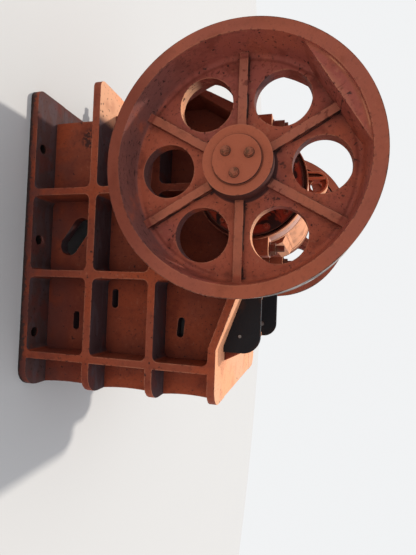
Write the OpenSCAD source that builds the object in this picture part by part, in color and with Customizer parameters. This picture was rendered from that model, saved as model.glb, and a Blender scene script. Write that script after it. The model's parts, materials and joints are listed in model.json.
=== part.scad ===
// Jaw crusher with a feed mouth of about 400 by 600 mm: a ribbed cast frame, a swing jaw hung on an
// eccentric shaft, and a heavy wheel on each end of the shaft.
// Millimetres. +Z is up, +X points to the feed end, the shaft runs along Y, and the base stands on Z = 0.
// The origin is under the middle of the machine, on the floor.

/* [Wheels] */
// Outside diameter of both wheels
wheel_d = 1040; // [1000:10:1060]
// Width across a wheel's rim
wheel_w = 246; // [236:2:256]
// Thickness of the rim at its outer faces
rim_t = 49; // [40:1:54]
// How much thicker the rim gets towards the web
rim_draft = 18; // [8:1:24]
// Radius of the fillets between the web and the rim, and round the hub
web_fillet = 22; // [12:1:26]
// How far the web lies behind the rim's outer face
web_inset = 134; // [120:2:140]
// Thickness of the web
web_t = 30; // [26:1:36]
// Diameter of the holes in the web
web_hole_d = 224; // [200:2:230]
// Distance of those holes from the shaft's axis
web_hole_pitch = 310; // [305:1:320]
// Number of holes, and of spokes between them
web_holes = 6; // [4:1:6]
// Width of a spoke
spoke_w = 36; // [28:1:42]
// How far a spoke stands out of the web
spoke_h = 24; // [16:1:34]
// Diameter of the hub
hub_d = 270; // [260:2:290]
// How far the hub's outer face lies behind the rim's
hub_inset = 35; // [30:1:45]
// Length of the hub
hub_l = 250; // [240:5:260]
// Distance from the shaft's axis to the flat of the counterweight
weight_chord = 414; // [405:1:430]
// Direction of the counterweight, counted from the feed end
weight_angle = 122; // [100:1:140]
// How far the counterweight's face lies behind the rim's
weight_inset = 10; // [4:1:20]
// Gap between a wheel and the frame's ribs
wheel_gap = 47; // [40:1:60]
// Number of belt grooves in the drive pulley
grooves = 5; // [3:1:5]
// Distance from groove to groove
groove_pitch = 40; // [36:1:42]
// Width of a groove at the rim
groove_w = 28; // [22:1:30]
// Depth of a groove
groove_h = 26; // [20:1:30]

/* [Shaft] */
// Height of the shaft's axis over the floor
shaft_h = 1150; // [1140:1:1160]
// Diameter of the shaft in the wheels
wheel_seat_d = 150; // [140:2:156]
// Diameter of the shaft in the frame's bearings
journal_d = 170; // [164:2:180]
// Diameter of the shaft in the swing jaw
eccentric_d = 220; // [210:2:226]
// How far that length lies off the axis
throw = 10; // [8:1:12]
// Radial play between the journal and its bearing
running_fit = 0.05; // [0.03:0.01:0.09]
// Diameter of the end cap that holds a wheel
end_cap_d = 190; // [180:2:200]
// Thickness of the end cap
end_cap_t = 14; // [10:1:16]
// Width across the flats of the end cap's bolt heads
end_bolt_af = 30; // [24:1:32]
// Distance of those bolts from the axis
end_bolt_pitch = 52; // [46:1:56]
// Number of bolts in an end cap
end_bolts = 3; // [3:1:6]

/* [Frame] */
// Width of the jaw plates
jaw_w = 600; // [590:2:604]
// Gap between a jaw plate and the cheek plate beside it
jaw_side_gap = 12; // [10:1:16]
// Thickness of a cheek plate
cheek_t = 54; // [46:1:60]
// Thickness of a side wall
wall_t = 56; // [50:1:62]
// How far the ribs stand out of a side wall
rib_h = 156; // [140:2:170]
// Thickness of a vertical rib
rib_t = 35; // [30:1:40]
// Place of the first vertical rib, ahead of the shaft
rib_start = 22; // [15:1:30]
// Distance from rib to rib
rib_pitch = 413; // [408:1:416]
// Thickness of the base flange
base_t = 45; // [38:1:50]
// Height of the shelf's underside
shelf_z = 365; // [355:1:375]
// Thickness of the shelf
shelf_t = 39; // [34:1:44]
// Height of the upper rib's underside
upper_rib_z = 696; // [680:2:710]
// Thickness of the upper rib and the top flange
flange_t = 36; // [30:1:40]
// Height of the frame at the feed end
front_h = 1031; // [1020:1:1045]
// Distance from the shaft to the feed end
front_reach = 1014; // [1000:2:1030]
// Distance from the shaft to where the top flange starts to climb
slope_start = 756; // [746:2:770]
// Distance from the shaft to where it reaches the bearing deck
slope_end = 422; // [410:2:430]
// Distance from the shaft back to the side wall's rear edge
rear_reach = 397; // [385:1:405]
// Distance from the shaft back to the shelf's rear edge
shelf_reach = 534; // [524:2:544]
// Height at which the rear flange turns to slant up to the deck
rear_knee_z = 957; // [930:1:980]
// Half length of the bearing deck behind the shaft
deck_back = 305; // [300:1:310]
// Radius of the frame's corners at the feed end
front_corner_r = 88; // [70:1:96]
// Radius of the frame's corners at the rear
rear_corner_r = 40; // [30:1:50]
// Radius of the cast corners between ribs
cast_r = 28; // [18:1:34]
// Depth of the scallops in the front edge of a side wall
scallop = 9; // [5:1:14]
// Thickness of the front wall
front_wall_t = 54; // [46:1:60]
// Distance from the shaft to the front wall's inner face
front_wall_x = 831; // [826:1:836]
// Thickness of the rear wall
rear_wall_t = 52; // [46:1:56]
// Distance from the middle to the ribs on the front and rear walls
wall_rib_y = 132; // [120:1:145]
// Thickness of those ribs
wall_rib_w = 36; // [30:1:42]
// Diameter of the foundation bolt holes
bolt_hole_d = 50; // [40:1:54]
// Distance between the foundation bolt holes along the machine
bolt_pitch_x = 480; // [470:2:490]
// Distance from the shaft to the middle foundation bolt hole
bolt_mid_x = 260; // [250:1:270]
// Distance from the frame's edge to the bolt holes' centre
bolt_edge = 54; // [44:1:58]

/* [Openings in the side walls] */
// Length of the slots
slot_l = 100; // [90:1:110]
// Width of the slots
slot_w = 35; // [28:1:40]
// Height of the top slot over the upper rib
top_slot_rise = 80; // [70:1:90]
// Distance of the top slot from the middle of its bay, towards the feed end
top_slot_shift = 39; // [30:1:48]
// Height of the middle slot over the shelf
mid_slot_rise = 43; // [36:1:60]
// Distance of the middle slot from the middle of its bay, towards the feed end
mid_slot_shift = -90; // [-100:1:-80]
// Height of the low slot over the base flange
low_slot_rise = 177; // [160:1:190]
// Distance of the low slot from the middle of its bay, towards the feed end
low_slot_shift = 36; // [26:1:46]
// Length of the slanted access hole
access_l = 225; // [215:1:235]
// Width of the access hole
access_w = 105; // [95:1:115]
// Height of the access hole over the base flange
access_rise = 148; // [140:1:160]

/* [Bearings] */
// Outside diameter of a bearing housing
housing_d = 510; // [496:2:514]
// Distance from the side wall's inner face to the housing's outer face
housing_l = 134; // [126:1:140]
// How far the housing stands inward of the side wall
housing_lip = 26; // [16:1:30]
// Depth of the housing's mouth, which the cover sits in
mouth_h = 30; // [24:1:34]
// Thickness of the housing's edge round that mouth
mouth_edge = 6; // [4:1:10]
// Outside diameter of the bearing
bearing_d = 300; // [290:2:320]
// Thickness of the bearing cover
cover_t = 24; // [16:1:28]
// Width of the groove round the bearing cover
cover_groove = 12; // [8:1:16]
// Height of the cap's lugs
lug_h = 86; // [75:1:95]
// Distance from the housing's outside to the cap studs
stud_gap = 33; // [30:1:37]
// Diameter of a cap stud
stud_d = 30; // [26:1:36]
// Length of a cap stud over the deck
stud_l = 156; // [150:1:164]
// Width across the flats of a stud's nut
stud_nut_af = 50; // [44:1:55]
// Height of a stud's nut
stud_nut_h = 24; // [18:1:26]

/* [Jaws] */
// Gap between the jaws at the top
feed_gap = 400; // [390:2:410]
// Gap between the jaws at the bottom
discharge_gap = 80; // [70:1:90]
// Height of the jaw plates' lower edge
jaw_foot_z = 250; // [240:1:260]
// Distance from the shaft's axis down to the jaw plates' upper edge
jaw_top_drop = 140; // [130:1:150]
// Thickness of a jaw plate over its teeth
jaw_plate_t = 70; // [62:1:74]
// Height of the teeth
tooth_h = 24; // [18:1:28]
// Number of teeth across a jaw plate
teeth = 12; // [10:1:14]
// Diameter of the swing jaw's barrel
barrel_d = 510; // [500:2:514]
// Gap between the barrel's end and the bearing housing
barrel_gap = 8; // [6:1:12]
// Thickness of the swing jaw behind its plate
swing_t = 64; // [56:1:70]
// Thickness of the swing jaw's ribs
swing_rib_t = 48; // [40:1:52]

/* [Guards] */
// Height of the guard plates over the bearing deck
guard_rise = 55; // [46:1:65]
// Thickness of a guard plate
guard_t = 28; // [22:1:32]
// Distance from the shaft to a guard plate's front end
guard_front = 785; // [776:1:792]
// Gap between a guard plate and the bearing cap's lug
guard_gap = 8; // [6:1:14]
// Radius of a guard plate's front corner
guard_r = 82; // [70:1:90]
// Distance of the hole in a guard plate from its front end
guard_hole_back = 80; // [70:1:90]
// Depth of that hole under the guard plate's upper edge
guard_hole_drop = 96; // [88:1:104]
// Diameter of the hole in a guard plate
guard_hole_d = 18; // [14:1:22]
// Length of the bracket that holds a guard plate
guard_bracket_l = 92; // [80:1:100]
// Height of that bracket
guard_bracket_h = 80; // [70:1:90]
// Thickness of that bracket
guard_bracket_t = 20; // [16:1:24]

/* [Toggle] */
// Length of the toggle plate between its seats
toggle_l = 380; // [374:1:386]
// Thickness of the toggle plate
toggle_t = 38; // [32:1:44]
// Diameter of the tension rod
rod_d = 36; // [30:1:40]
// Distance from the shaft back to the rod's end
rod_reach = 710; // [700:2:724]
// Free turns of the tension spring
spring_turns = 6; // [5:1:7]
// Thickness of the spring's wire
spring_wire = 14; // [12:1:16]
// Mean diameter of the spring
spring_d = 84; // [80:1:90]

/* [Hidden] */

fit = 0.3;      // gap between pieces that seat on each other
cut = 2;        // how far a cutter runs past the face that it opens

wall_in = jaw_w / 2 + jaw_side_gap + cheek_t + fit;
wall_out = wall_in + wall_t;
frame_half = wall_out + rib_h;
wheel_in = frame_half + wheel_gap;
wheel_out = wheel_in + wheel_w;
wheel_r = wheel_d / 2;
rim_in_r = wheel_r - rim_t;
hub_out = wheel_out - hub_inset;
web_out = wheel_out - web_inset;
housing_in = wall_in - housing_lip;
housing_out = wall_in + housing_l;
bearing_l = housing_out - mouth_h - housing_in;
mouth_d = housing_d - 2 * mouth_edge;
cover_d = mouth_d - 2 * cover_groove;
cover_in = housing_out - mouth_h + fit;
rib_x = [rib_start, rib_start + rib_pitch, rib_start + 2 * rib_pitch];
shelf_top = shelf_z + shelf_t;
upper_rib_top = upper_rib_z + flange_t;
slope_angle = atan((shaft_h - front_h) / (slope_start - slope_end));
rear_flange_x = -rear_reach - 16;
rear_angle = atan2(shaft_h - rear_knee_z, -deck_back - rear_flange_x);
base_reach = shelf_reach - 14;
mid_x = (front_reach - rod_reach) / 2;
stud_x = housing_d / 2 + stud_gap;
lug_end = 38;      // from a cap stud to the end of its lug
lug_inset = 12;    // from the housing's outer face to the lug's, and from the side wall's inner face
lug_y = (wall_in + housing_out) / 2;
guard_back = stud_x + lug_end + guard_gap;
guard_top_z = shaft_h + guard_rise;

// The jaws meet the feed in a wedge: the fixed face stands upright and the swing face leans.
jaw_top_z = shaft_h - jaw_top_drop;
fixed_face_x = front_wall_x - jaw_plate_t;
swing_top_x = fixed_face_x - feed_gap;
swing_foot_x = fixed_face_x - discharge_gap;
jaw_rise = jaw_top_z - jaw_foot_z;
jaw_lean = atan((swing_foot_x - swing_top_x) / jaw_rise);
swing_face_l = jaw_rise / cos(jaw_lean);
wedge_h = 62;

// The toggle runs from the swing jaw's back to the beam across the frame.
toggle_front_x = 446;
toggle_front_z = 338;
toggle_drop = 24;
toggle_angle = asin(toggle_drop / toggle_l);
toggle_rear_x = toggle_front_x - toggle_l * cos(toggle_angle);
toggle_rear_z = toggle_front_z - toggle_drop;
bead_d = toggle_t + 8;      // the toggle's round edges
seat_t = 34;
seat_h = 96;
seat_bite = 8;     // how far a seat reaches past the middle of the toggle's round edge
beam_l = 150;
beam_h = 180;
beam_front_x = toggle_rear_x - seat_t + seat_bite - fit;
beam_back_x = beam_front_x - beam_l;
shim_count = 4;
shim_t = 12;
thrust_x = beam_back_x - shim_count * shim_t;
rod_front_x = 500;
rod_front_z = 176;
rod_rear_z = 128;
rod_angle = atan((rod_front_z - rod_rear_z) / (rod_front_x + rod_reach));

$fn = 96;

function unit(v) = v / norm(v);

// The points that replace a corner p by an arc of radius r, in steps.
function corner(before, p, after, r, steps) =
    r <= 0 ? [p] :
    let (a = unit(before - p), b = unit(after - p), half = acos(a * b) / 2,
         c = p + unit(a + b) * r / sin(half),
         from = p + a * r / tan(half) - c, to = p + b * r / tan(half) - c,
         start = atan2(from[1], from[0]), turn = atan2(to[1], to[0]) - start,
         sweep = turn > 180 ? turn - 360 : turn < -180 ? turn + 360 : turn)
    [for (i = [0:steps]) c + r * [cos(start + sweep * i / steps), sin(start + sweep * i / steps)]];

// An outline whose corners have the radii in r.
function rounded(points, r, steps = 5) =
    let (n = len(points))
    [for (i = [0:n - 1]) each corner(points[(i + n - 1) % n], points[i], points[(i + 1) % n], r[i], steps)];

// Height of the top flange's upper face at x, on the slope.
function slope_z(x) = front_h + (slope_start - x) * tan(slope_angle);

// Height of the top flange's lower face at x, under the slope.
function under_slope_z(x) = slope_z(x) - flange_t / cos(slope_angle);

// The machine's own origin, with the shaft's axis over x = 0, moved to the part's origin.
module placed() translate([-mid_x, 0, 0]) children();

// Side +1 is the far one, and -1 the near one.
module on_side(side) mirror([0, side < 0 ? 1 : 0, 0]) children();

// An outline in X and Z, extruded from y to y + t.
module upright(y, t) translate([0, y + t, 0]) rotate([90, 0, 0]) linear_extrude(t) children();

// A cylinder along Y, from y to y + l, about the point (x, z).
module round_y(x, z, d, y, l) translate([x, y + l, z]) rotate([90, 0, 0]) cylinder(d = d, h = l);

module ring_y(x, z, d, bore, y, l) {
    difference() {
        round_y(x, z, d, y, l);
        round_y(x, z, bore, y - cut, l + 2 * cut);
    }
}

// A point on the swing jaw, given in its face's own frame: x ahead of the face, z up along it.
function on_face(x, z) = [swing_foot_x + x * cos(jaw_lean) - z * sin(jaw_lean),
                          jaw_foot_z + x * sin(jaw_lean) + z * cos(jaw_lean)];

// A slot with round ends through a side wall.
module side_slot(x, z, l, w, angle) {
    translate([x, 0, z]) rotate([0, angle, 0]) translate([0, wall_in - cut, 0]) {
        for (end = [-1, 1]) translate([end * (l - w) / 2, 0, 0])
            rotate([-90, 0, 0]) cylinder(d = w, h = wall_t + 2 * cut);
        translate([-(l - w) / 2, 0, -w / 2]) cube([l - w, wall_t + 2 * cut, w]);
    }
}

// The side wall's outline: base, feed end, slope, bearing deck, slanted rear and upright rear.
module wall_outline() {
    polygon([
        [-rear_reach, 0], [front_reach - fit, 0], [front_reach - fit, front_h],
        [slope_start, front_h], [slope_end, shaft_h], [-deck_back, shaft_h],
        [rear_flange_x, rear_knee_z], [rear_flange_x, shelf_z], [-rear_reach, shelf_z]
    ]);
}

module pocket(points, radii) upright(wall_out, rib_h + cut) polygon(rounded(points, radii));

// The hollows between the ribs, in three rows.
module wall_pockets() {
    a = rib_x[0] - rib_t / 2;
    b0 = rib_x[0] + rib_t / 2;
    b1 = rib_x[1] - rib_t / 2;
    c0 = rib_x[1] + rib_t / 2;
    c1 = rib_x[2] - rib_t / 2;
    d = rib_x[2] + rib_t / 2;
    back = rear_flange_x + flange_t;
    open_back = -shelf_reach - cut;
    open_front = front_reach + cut;
    r = cast_r;
    pocket([[open_back, base_t], [a, base_t], [a, shelf_z], [open_back, shelf_z]], [0, r, r, 0]);
    pocket([[back, shelf_top], [a, shelf_top], [a, upper_rib_z], [back, upper_rib_z]], [r, r, r, r]);
    for (row = [[base_t, shelf_z], [shelf_top, upper_rib_z]]) {
        for (bay = [[b0, b1], [c0, c1]])
            pocket([[bay[0], row[0]], [bay[1], row[0]], [bay[1], row[1]], [bay[0], row[1]]], [r, r, r, r]);
        pocket([[d, row[0]], [open_front, row[0]], [open_front, row[1]], [d, row[1]]], [r, 0, 0, r]);
    }
    pocket([[d, upper_rib_top], [open_front, upper_rib_top],
            [open_front, front_h - flange_t], [d, front_h - flange_t]], [r, 0, 0, r]);
    knee = slope_start - flange_t * tan(slope_angle / 2);
    pocket([[c0, upper_rib_top], [c1, upper_rib_top], [c1, front_h - flange_t],
            [knee, front_h - flange_t], [c0, under_slope_z(c0)]], [r, r, r, 0, r]);
    deck_under = shaft_h - flange_t;
    pocket([[b0, upper_rib_top], [b1, upper_rib_top], [b1, deck_under], [b0, deck_under]], [r, r, r, r]);
    slant_x = -deck_back + flange_t;
    slant_z = rear_knee_z;
    pocket([[back, upper_rib_top], [a, upper_rib_top], [a, deck_under], [slant_x, deck_under],
            [back, slant_z]], [r, r, r, r, r]);
}

// A level flange along the side, with rounded corners in plan.
module side_flange(z, t, back, back_r) {
    translate([0, 0, z]) linear_extrude(t)
        polygon(rounded([[-back, wall_in], [front_reach, wall_in], [front_reach, frame_half],
                         [-back, frame_half]], [0, 0, front_corner_r, back_r]));
}

module side_frame(side) {
    color("orangered") placed() on_side(side) difference() {
        union() {
            upright(wall_in, wall_t) wall_outline();
            difference() {
                upright(wall_out, rib_h) intersection() {
                    wall_outline();
                    translate([-shelf_reach, 0]) square([shelf_reach + rib_x[2] + rib_t / 2, shaft_h]);
                }
                difference() {
                    wall_pockets();
                    round_y(0, shaft_h, housing_d, wall_out - cut, housing_l - wall_t + cut);
                }
            }
            difference() {
                round_y(0, shaft_h, housing_d, housing_in, housing_lip + cut);
                translate([-housing_d, housing_in - cut, shaft_h]) cube([2 * housing_d, housing_lip + 3 * cut, housing_d]);
            }
            side_flange(0, base_t, base_reach, rear_corner_r);
            side_flange(shelf_z, shelf_t, shelf_reach, rear_corner_r);
            side_flange(upper_rib_z, flange_t, -rear_flange_x, 0);
            side_flange(front_h - flange_t, flange_t, -slope_start, 0);
        }
        round_y(0, shaft_h, bearing_d, housing_in - cut, housing_out - housing_in + 2 * cut);
        round_y(0, shaft_h, mouth_d, housing_out - mouth_h, mouth_h + cut);
        round_y(0, shaft_h, housing_d, housing_out, rib_h);
        for (row = [[base_t, shelf_z], [shelf_top, upper_rib_z], [upper_rib_top, front_h - flange_t]]) {
            chord = row[1] - row[0];
            r = (chord * chord / 4 + scallop * scallop) / (2 * scallop);
            translate([0, 0, row[0]]) intersection() {
                translate([0, wall_in - cut, 0]) cube([front_reach + cut, wall_t + 2 * cut, chord]);
                round_y(front_reach - scallop + r, chord / 2, 2 * r, wall_in - cut, wall_t + 2 * cut);
            }
        }
        front_bay_x = (rib_x[1] + rib_x[2]) / 2;
        side_slot(front_bay_x + top_slot_shift, upper_rib_top + top_slot_rise, slot_l, slot_w, 4);
        side_slot(front_bay_x + mid_slot_shift, shelf_top + mid_slot_rise, slot_l, slot_w, 0);
        side_slot(front_bay_x + low_slot_shift, base_t + low_slot_rise, slot_l, slot_w, 0);
        side_slot((rib_x[0] + rib_x[1]) / 2, base_t + access_rise, access_l, access_w, 35);
        for (i = [-1:1]) translate([bolt_mid_x + i * bolt_pitch_x, frame_half - bolt_edge, -cut])
            cylinder(d = bolt_hole_d, h = base_t + 2 * cut);
    }
}
module side_frame_near() side_frame(-1);
module side_frame_far() side_frame(1);

// The wall behind the fixed jaw, with level flanges and two upright ribs on its outer face.
module front_wall() {
    color("orangered") placed() {
        translate([front_wall_x, -wall_in, 0]) cube([front_wall_t, 2 * wall_in, front_h]);
        for (level = [[0, base_t], [shelf_z, shelf_t], [upper_rib_z, flange_t], [front_h - flange_t, flange_t]])
            translate([front_wall_x, -wall_in, level[0]])
                cube([front_reach - front_wall_x, 2 * wall_in, level[1]]);
        for (s = [-1, 1]) translate([front_wall_x, s * wall_rib_y - wall_rib_w / 2, 0])
            cube([front_reach - scallop - front_wall_x, wall_rib_w, front_h]);
    }
}

module rear_wall() {
    corner_rib_h = 30;
    foot_rib_end = 40;
    thrust_z = toggle_rear_z - beam_h / 2;
    rod_z = rod_front_z - (rod_front_x + rear_reach) * tan(rod_angle);
    color("orangered") placed() difference() {
        union() {
            translate([-rear_reach, -wall_in, 0]) cube([rear_wall_t, 2 * wall_in, rear_knee_z]);
            translate([-base_reach, -wall_in, 0]) cube([base_reach - rear_reach + cut, 2 * wall_in, base_t]);
            translate([-shelf_reach, -wall_in, shelf_z])
                cube([shelf_reach - rear_reach + cut, 2 * wall_in, shelf_t]);
            translate([rear_flange_x, -wall_in, upper_rib_z])
                cube([-rear_reach - rear_flange_x + cut, 2 * wall_in, flange_t]);
            for (s = [-1, 1]) {
                translate([-rear_reach - corner_rib_h, s * (wall_in - wall_rib_w / 2) - wall_rib_w / 2, 0])
                    cube([corner_rib_h + cut, wall_rib_w, rear_knee_z]);
                translate([-base_reach + foot_rib_end, s * wall_rib_y - wall_rib_w / 2, 0])
                    cube([base_reach - foot_rib_end - rear_reach + cut, wall_rib_w, shelf_z + cut]);
            }
            translate([-rear_reach + rear_wall_t - cut, -wall_in, thrust_z])
                cube([thrust_x + rear_reach - rear_wall_t + cut, 2 * wall_in, beam_h]);
            along_rod() translate([spring_front, 0, 0]) rotate([0, 90, 0]) cylinder(d = spring_d + 50, h = spring_pad_h);
        }
        translate([-rear_reach - cut - spring_pad_h, 0, rod_z]) rotate([0, 90, 0])
            cylinder(d = 2 * rod_d, h = rear_wall_t + 2 * spring_pad_h + 2 * cut);
    }
}

module bearing_cap(side) {
    color("orangered") placed() on_side(side) difference() {
        union() {
            round_y(0, shaft_h, housing_d, housing_in, housing_out - housing_in);
            translate([-stud_x - lug_end, wall_in + lug_inset, shaft_h - lug_h])
                cube([2 * (stud_x + lug_end), housing_l - 2 * lug_inset, 2 * lug_h]);
        }
        translate([-housing_d, housing_in - cut, shaft_h - housing_d])
            cube([2 * housing_d, housing_out - housing_in + 2 * cut, housing_d]);
        round_y(0, shaft_h, bearing_d, housing_in - cut, housing_out - housing_in + 2 * cut);
        round_y(0, shaft_h, mouth_d, housing_out - mouth_h, mouth_h + cut);
        for (s = [-1, 1]) translate([s * stud_x, lug_y, shaft_h - cut])
            cylinder(d = stud_d + 2, h = lug_h + 2 * cut);
    }
}
module bearing_cap_near() bearing_cap(-1);
module bearing_cap_far() bearing_cap(1);

// A plain ring in the place of the roller bearing.
module bearing(side) {
    color("gray") placed() on_side(side)
        ring_y(0, shaft_h, bearing_d - 2 * fit, journal_d + 2 * running_fit, housing_in, bearing_l);
}
module bearing_near() bearing(-1);
module bearing_far() bearing(1);

module bearing_cover(side) {
    color("firebrick") placed() on_side(side)
        ring_y(0, shaft_h, cover_d, journal_d + 12, cover_in, cover_t);
}
module bearing_cover_near() bearing_cover(-1);
module bearing_cover_far() bearing_cover(1);

// The studs that hold a cap down. The rear one has a second nut.
module cap_studs(side) {
    washer_t = 6;
    color("saddlebrown") placed() on_side(side) for (s = [-1, 1]) translate([s * stud_x, lug_y, shaft_h]) {
        cylinder(d = stud_d, h = stud_l);
        translate([0, 0, lug_h]) {
            cylinder(d = stud_nut_af + 14, h = washer_t);
            cylinder(d = stud_nut_af / cos(30), h = washer_t + (s < 0 ? 2 : 1) * stud_nut_h, $fn = 6);
        }
    }
}
module cap_studs_near() cap_studs(-1);
module cap_studs_far() cap_studs(1);

// A jaw plate's cross-section: a flat back and a row of teeth.
module tooth_section() {
    pitch = jaw_w / teeth;
    body = jaw_plate_t - tooth_h;
    polygon(concat(
        [[0, -jaw_w / 2], [0, jaw_w / 2], [-body, jaw_w / 2]],
        [for (i = [0:teeth - 1]) each [
            [-body, jaw_w / 2 - (i + 0.12) * pitch], [-jaw_plate_t, jaw_w / 2 - (i + 0.38) * pitch],
            [-jaw_plate_t, jaw_w / 2 - (i + 0.62) * pitch], [-body, jaw_w / 2 - (i + 0.88) * pitch]]],
        [[-body, -jaw_w / 2]]
    ));
}

module fixed_jaw_plate() {
    color("dimgray") placed() translate([front_wall_x, 0, jaw_foot_z])
        linear_extrude(jaw_rise) tooth_section();
}

// The ledge that the fixed jaw plate stands on.
module fixed_jaw_ledge() {
    ledge_h = 60;
    color("orangered") placed() translate([front_wall_x, -jaw_w / 2, jaw_foot_z - ledge_h])
        rotate([-90, 0, 0]) linear_extrude(jaw_w)
            polygon([[0, -ledge_h], [-jaw_plate_t * 0.6, -ledge_h], [0, ledge_h * 0.6]]);
}

// The swing jaw's own frame: origin at the foot of its plate's face, +Z up along the face, +X to the feed.
module on_swing_face() translate([swing_foot_x, 0, jaw_foot_z]) rotate([0, -jaw_lean, 0]) children();

module swing_jaw_plate() {
    color("dimgray") placed() on_swing_face() translate([-jaw_plate_t, 0, 0])
        mirror([1, 0, 0]) linear_extrude(swing_face_l) tooth_section();
}

module jaw_wedge() {
    color("dimgray") placed() on_swing_face() translate([-jaw_plate_t, jaw_w / 2, swing_face_l])
        rotate([90, 0, 0]) linear_extrude(jaw_w)
            polygon([[0, 0], [jaw_plate_t * 0.55, 0], [jaw_plate_t * 0.2, wedge_h], [0, wedge_h]]);
}

// The barrel, the slab behind the jaw plate, three ribs, the toggle's block and the tension rod's lug.
module swing_jaw() {
    back = -jaw_plate_t - swing_t;
    core = -jaw_plate_t - swing_t / 2;
    barrel_half = housing_in - barrel_gap;
    barrel_r = barrel_d / 2;
    head_x = barrel_r + 6;
    block_x = toggle_front_x + seat_t - seat_bite + fit;
    block_half = 60;
    rod_lug = 90;
    color("orangered") placed() difference() {
        union() {
            round_y(0, shaft_h, barrel_d, -barrel_half, 2 * barrel_half);
            upright(-jaw_w / 2, jaw_w) polygon([
                [0, shaft_h], barrel_r * [cos(38), sin(38)] + [0, shaft_h], [head_x, shaft_h + barrel_r * 0.54],
                [head_x, jaw_top_z + wedge_h / 2], on_face(core, swing_face_l)
            ]);
            on_swing_face() translate([back, -jaw_w / 2, 0]) cube([swing_t, jaw_w, swing_face_l + wedge_h]);
            for (y = [-jaw_w / 2, -swing_rib_t / 2, jaw_w / 2 - swing_rib_t]) upright(y, swing_rib_t)
                polygon([
                    on_face(core, 20), [block_x, toggle_front_z - block_half], [block_x, toggle_front_z + block_half],
                    [-0.8 * barrel_r, shaft_h - 0.44 * barrel_r], [0, shaft_h], on_face(core, swing_face_l)
                ]);
            upright(-jaw_w / 2, jaw_w) polygon([
                [block_x, toggle_front_z - block_half], on_face(core, 20), on_face(core, 170),
                [block_x, toggle_front_z + block_half]
            ]);
            translate([rod_front_x - rod_lug / 2, -rod_lug / 2, rod_front_z - rod_lug / 2])
                cube([rod_lug, rod_lug, toggle_front_z - block_half - rod_front_z + rod_lug / 2 + 10]);
        }
        round_y(0, shaft_h, eccentric_d + 2 * throw + 12, -barrel_half - cut, 2 * barrel_half + 2 * cut);
        along_rod() translate([rod_l - rod_lug, 0, 0]) rotate([0, 90, 0])
            cylinder(d = rod_d + 2 * fit, h = rod_lug + fit);
    }
}

// An eye on the barrel, a little behind its top.
module lifting_lug() {
    lug_t = 56;
    eye_r = 65;
    eye_hole_d = 60;
    eye = barrel_d * [-0.24, 0] + [0, shaft_h + barrel_d / 2 + 34];
    color("orangered") placed() difference() {
        upright(-lug_t / 2, lug_t) difference() {
            union() {
                translate(eye) circle(r = eye_r);
                polygon([eye + [-eye_r, 0], [eye[0] - 1.15 * eye_r, shaft_h + 0.3 * barrel_d],
                         [eye[0] + 1.15 * eye_r, shaft_h + 0.3 * barrel_d], eye + [eye_r, 0]]);
            }
            translate(eye) circle(d = eye_hole_d);
        }
        round_y(0, shaft_h, barrel_d + 2 * fit, -lug_t, 2 * lug_t);
    }
}

module cheek_plate(side) {
    drop = 10;      // how far the cheek plate lies lower than the jaw plates
    overlap = 120;  // how far it reaches behind the swing jaw plate's foot
    front = front_wall_x - fit;
    color("dimgray") placed() on_side(side) upright(wall_in - fit - cheek_t, cheek_t)
        polygon([[front, jaw_foot_z - drop], [front, jaw_top_z - drop],
                 [swing_top_x - 30, jaw_top_z - drop], [swing_foot_x - overlap, jaw_foot_z - drop]]);
}
module cheek_plate_near() cheek_plate(-1);
module cheek_plate_far() cheek_plate(1);

// A plate that stands on the side wall's edge, along the deck, the slope and the start of the flange.
module guard_plate(side) {
    color("dimgray") placed() on_side(side) upright(wall_out - guard_t, guard_t) difference() {
        polygon(rounded([[guard_back, shaft_h], [slope_end, shaft_h], [slope_start, front_h], [guard_front, front_h],
                         [guard_front, guard_top_z], [guard_back, guard_top_z]], [0, 0, 0, 0, guard_r, 0], 10));
        translate([guard_front - guard_hole_back, guard_top_z - guard_hole_drop]) circle(d = guard_hole_d);
    }
}
module guard_plate_near() guard_plate(-1);
module guard_plate_far() guard_plate(1);

// A gusset on the top flange, against the guard plate's inner face.
module guard_bracket(side) {
    back = guard_front - guard_bracket_l / 2;
    color("orangered") placed() on_side(side) upright(wall_out - guard_t - guard_bracket_t, guard_bracket_t)
        polygon([[max(back, slope_start), front_h], [back + guard_bracket_l, front_h],
                 [guard_front + 4, front_h + guard_bracket_h], [max(back, slope_start), front_h + guard_bracket_h]]);
}
module guard_bracket_near() guard_bracket(-1);
module guard_bracket_far() guard_bracket(1);

// A bar with round edges between two seats.
module toggle_plate() {
    half = jaw_w / 2 - 20;
    color("orangered") placed() union() {
        for (p = [[toggle_front_x, toggle_front_z], [toggle_rear_x, toggle_rear_z]])
            round_y(p[0], p[1], bead_d, -half, 2 * half);
        translate([toggle_rear_x, -half, toggle_rear_z]) rotate([0, -toggle_angle, 0])
            translate([0, 0, -toggle_t / 2]) cube([toggle_l, 2 * half, toggle_t]);
    }
}

// A bar with a round groove for the toggle's edge.
module toggle_seat(x, z, out) {
    half = jaw_w / 2 - 10;
    color("dimgray") placed() difference() {
        translate([out > 0 ? x - seat_bite : x + seat_bite - seat_t, -half, z - seat_h / 2])
            cube([seat_t, 2 * half, seat_h]);
        round_y(x, z, bead_d + 2 * fit, -half - cut, 2 * half + 2 * cut);
    }
}
module toggle_seat_front() toggle_seat(toggle_front_x, toggle_front_z, 1);
module toggle_seat_rear() toggle_seat(toggle_rear_x, toggle_rear_z, -1);

module toggle_beam() {
    color("orangered") placed() translate([beam_back_x, -wall_in, toggle_rear_z - beam_h / 2])
        cube([beam_l, 2 * wall_in, beam_h]);
}

module adjusting_shims() {
    shim_h = 140;
    step = 10;
    color("gray") placed() for (i = [0:shim_count - 1])
        translate([thrust_x + i * shim_t, -jaw_w / 2 + step * (i % 2), toggle_rear_z - shim_h / 2])
            cube([shim_t, jaw_w, shim_h + 2 * step * (i % 2)]);
}

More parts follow.
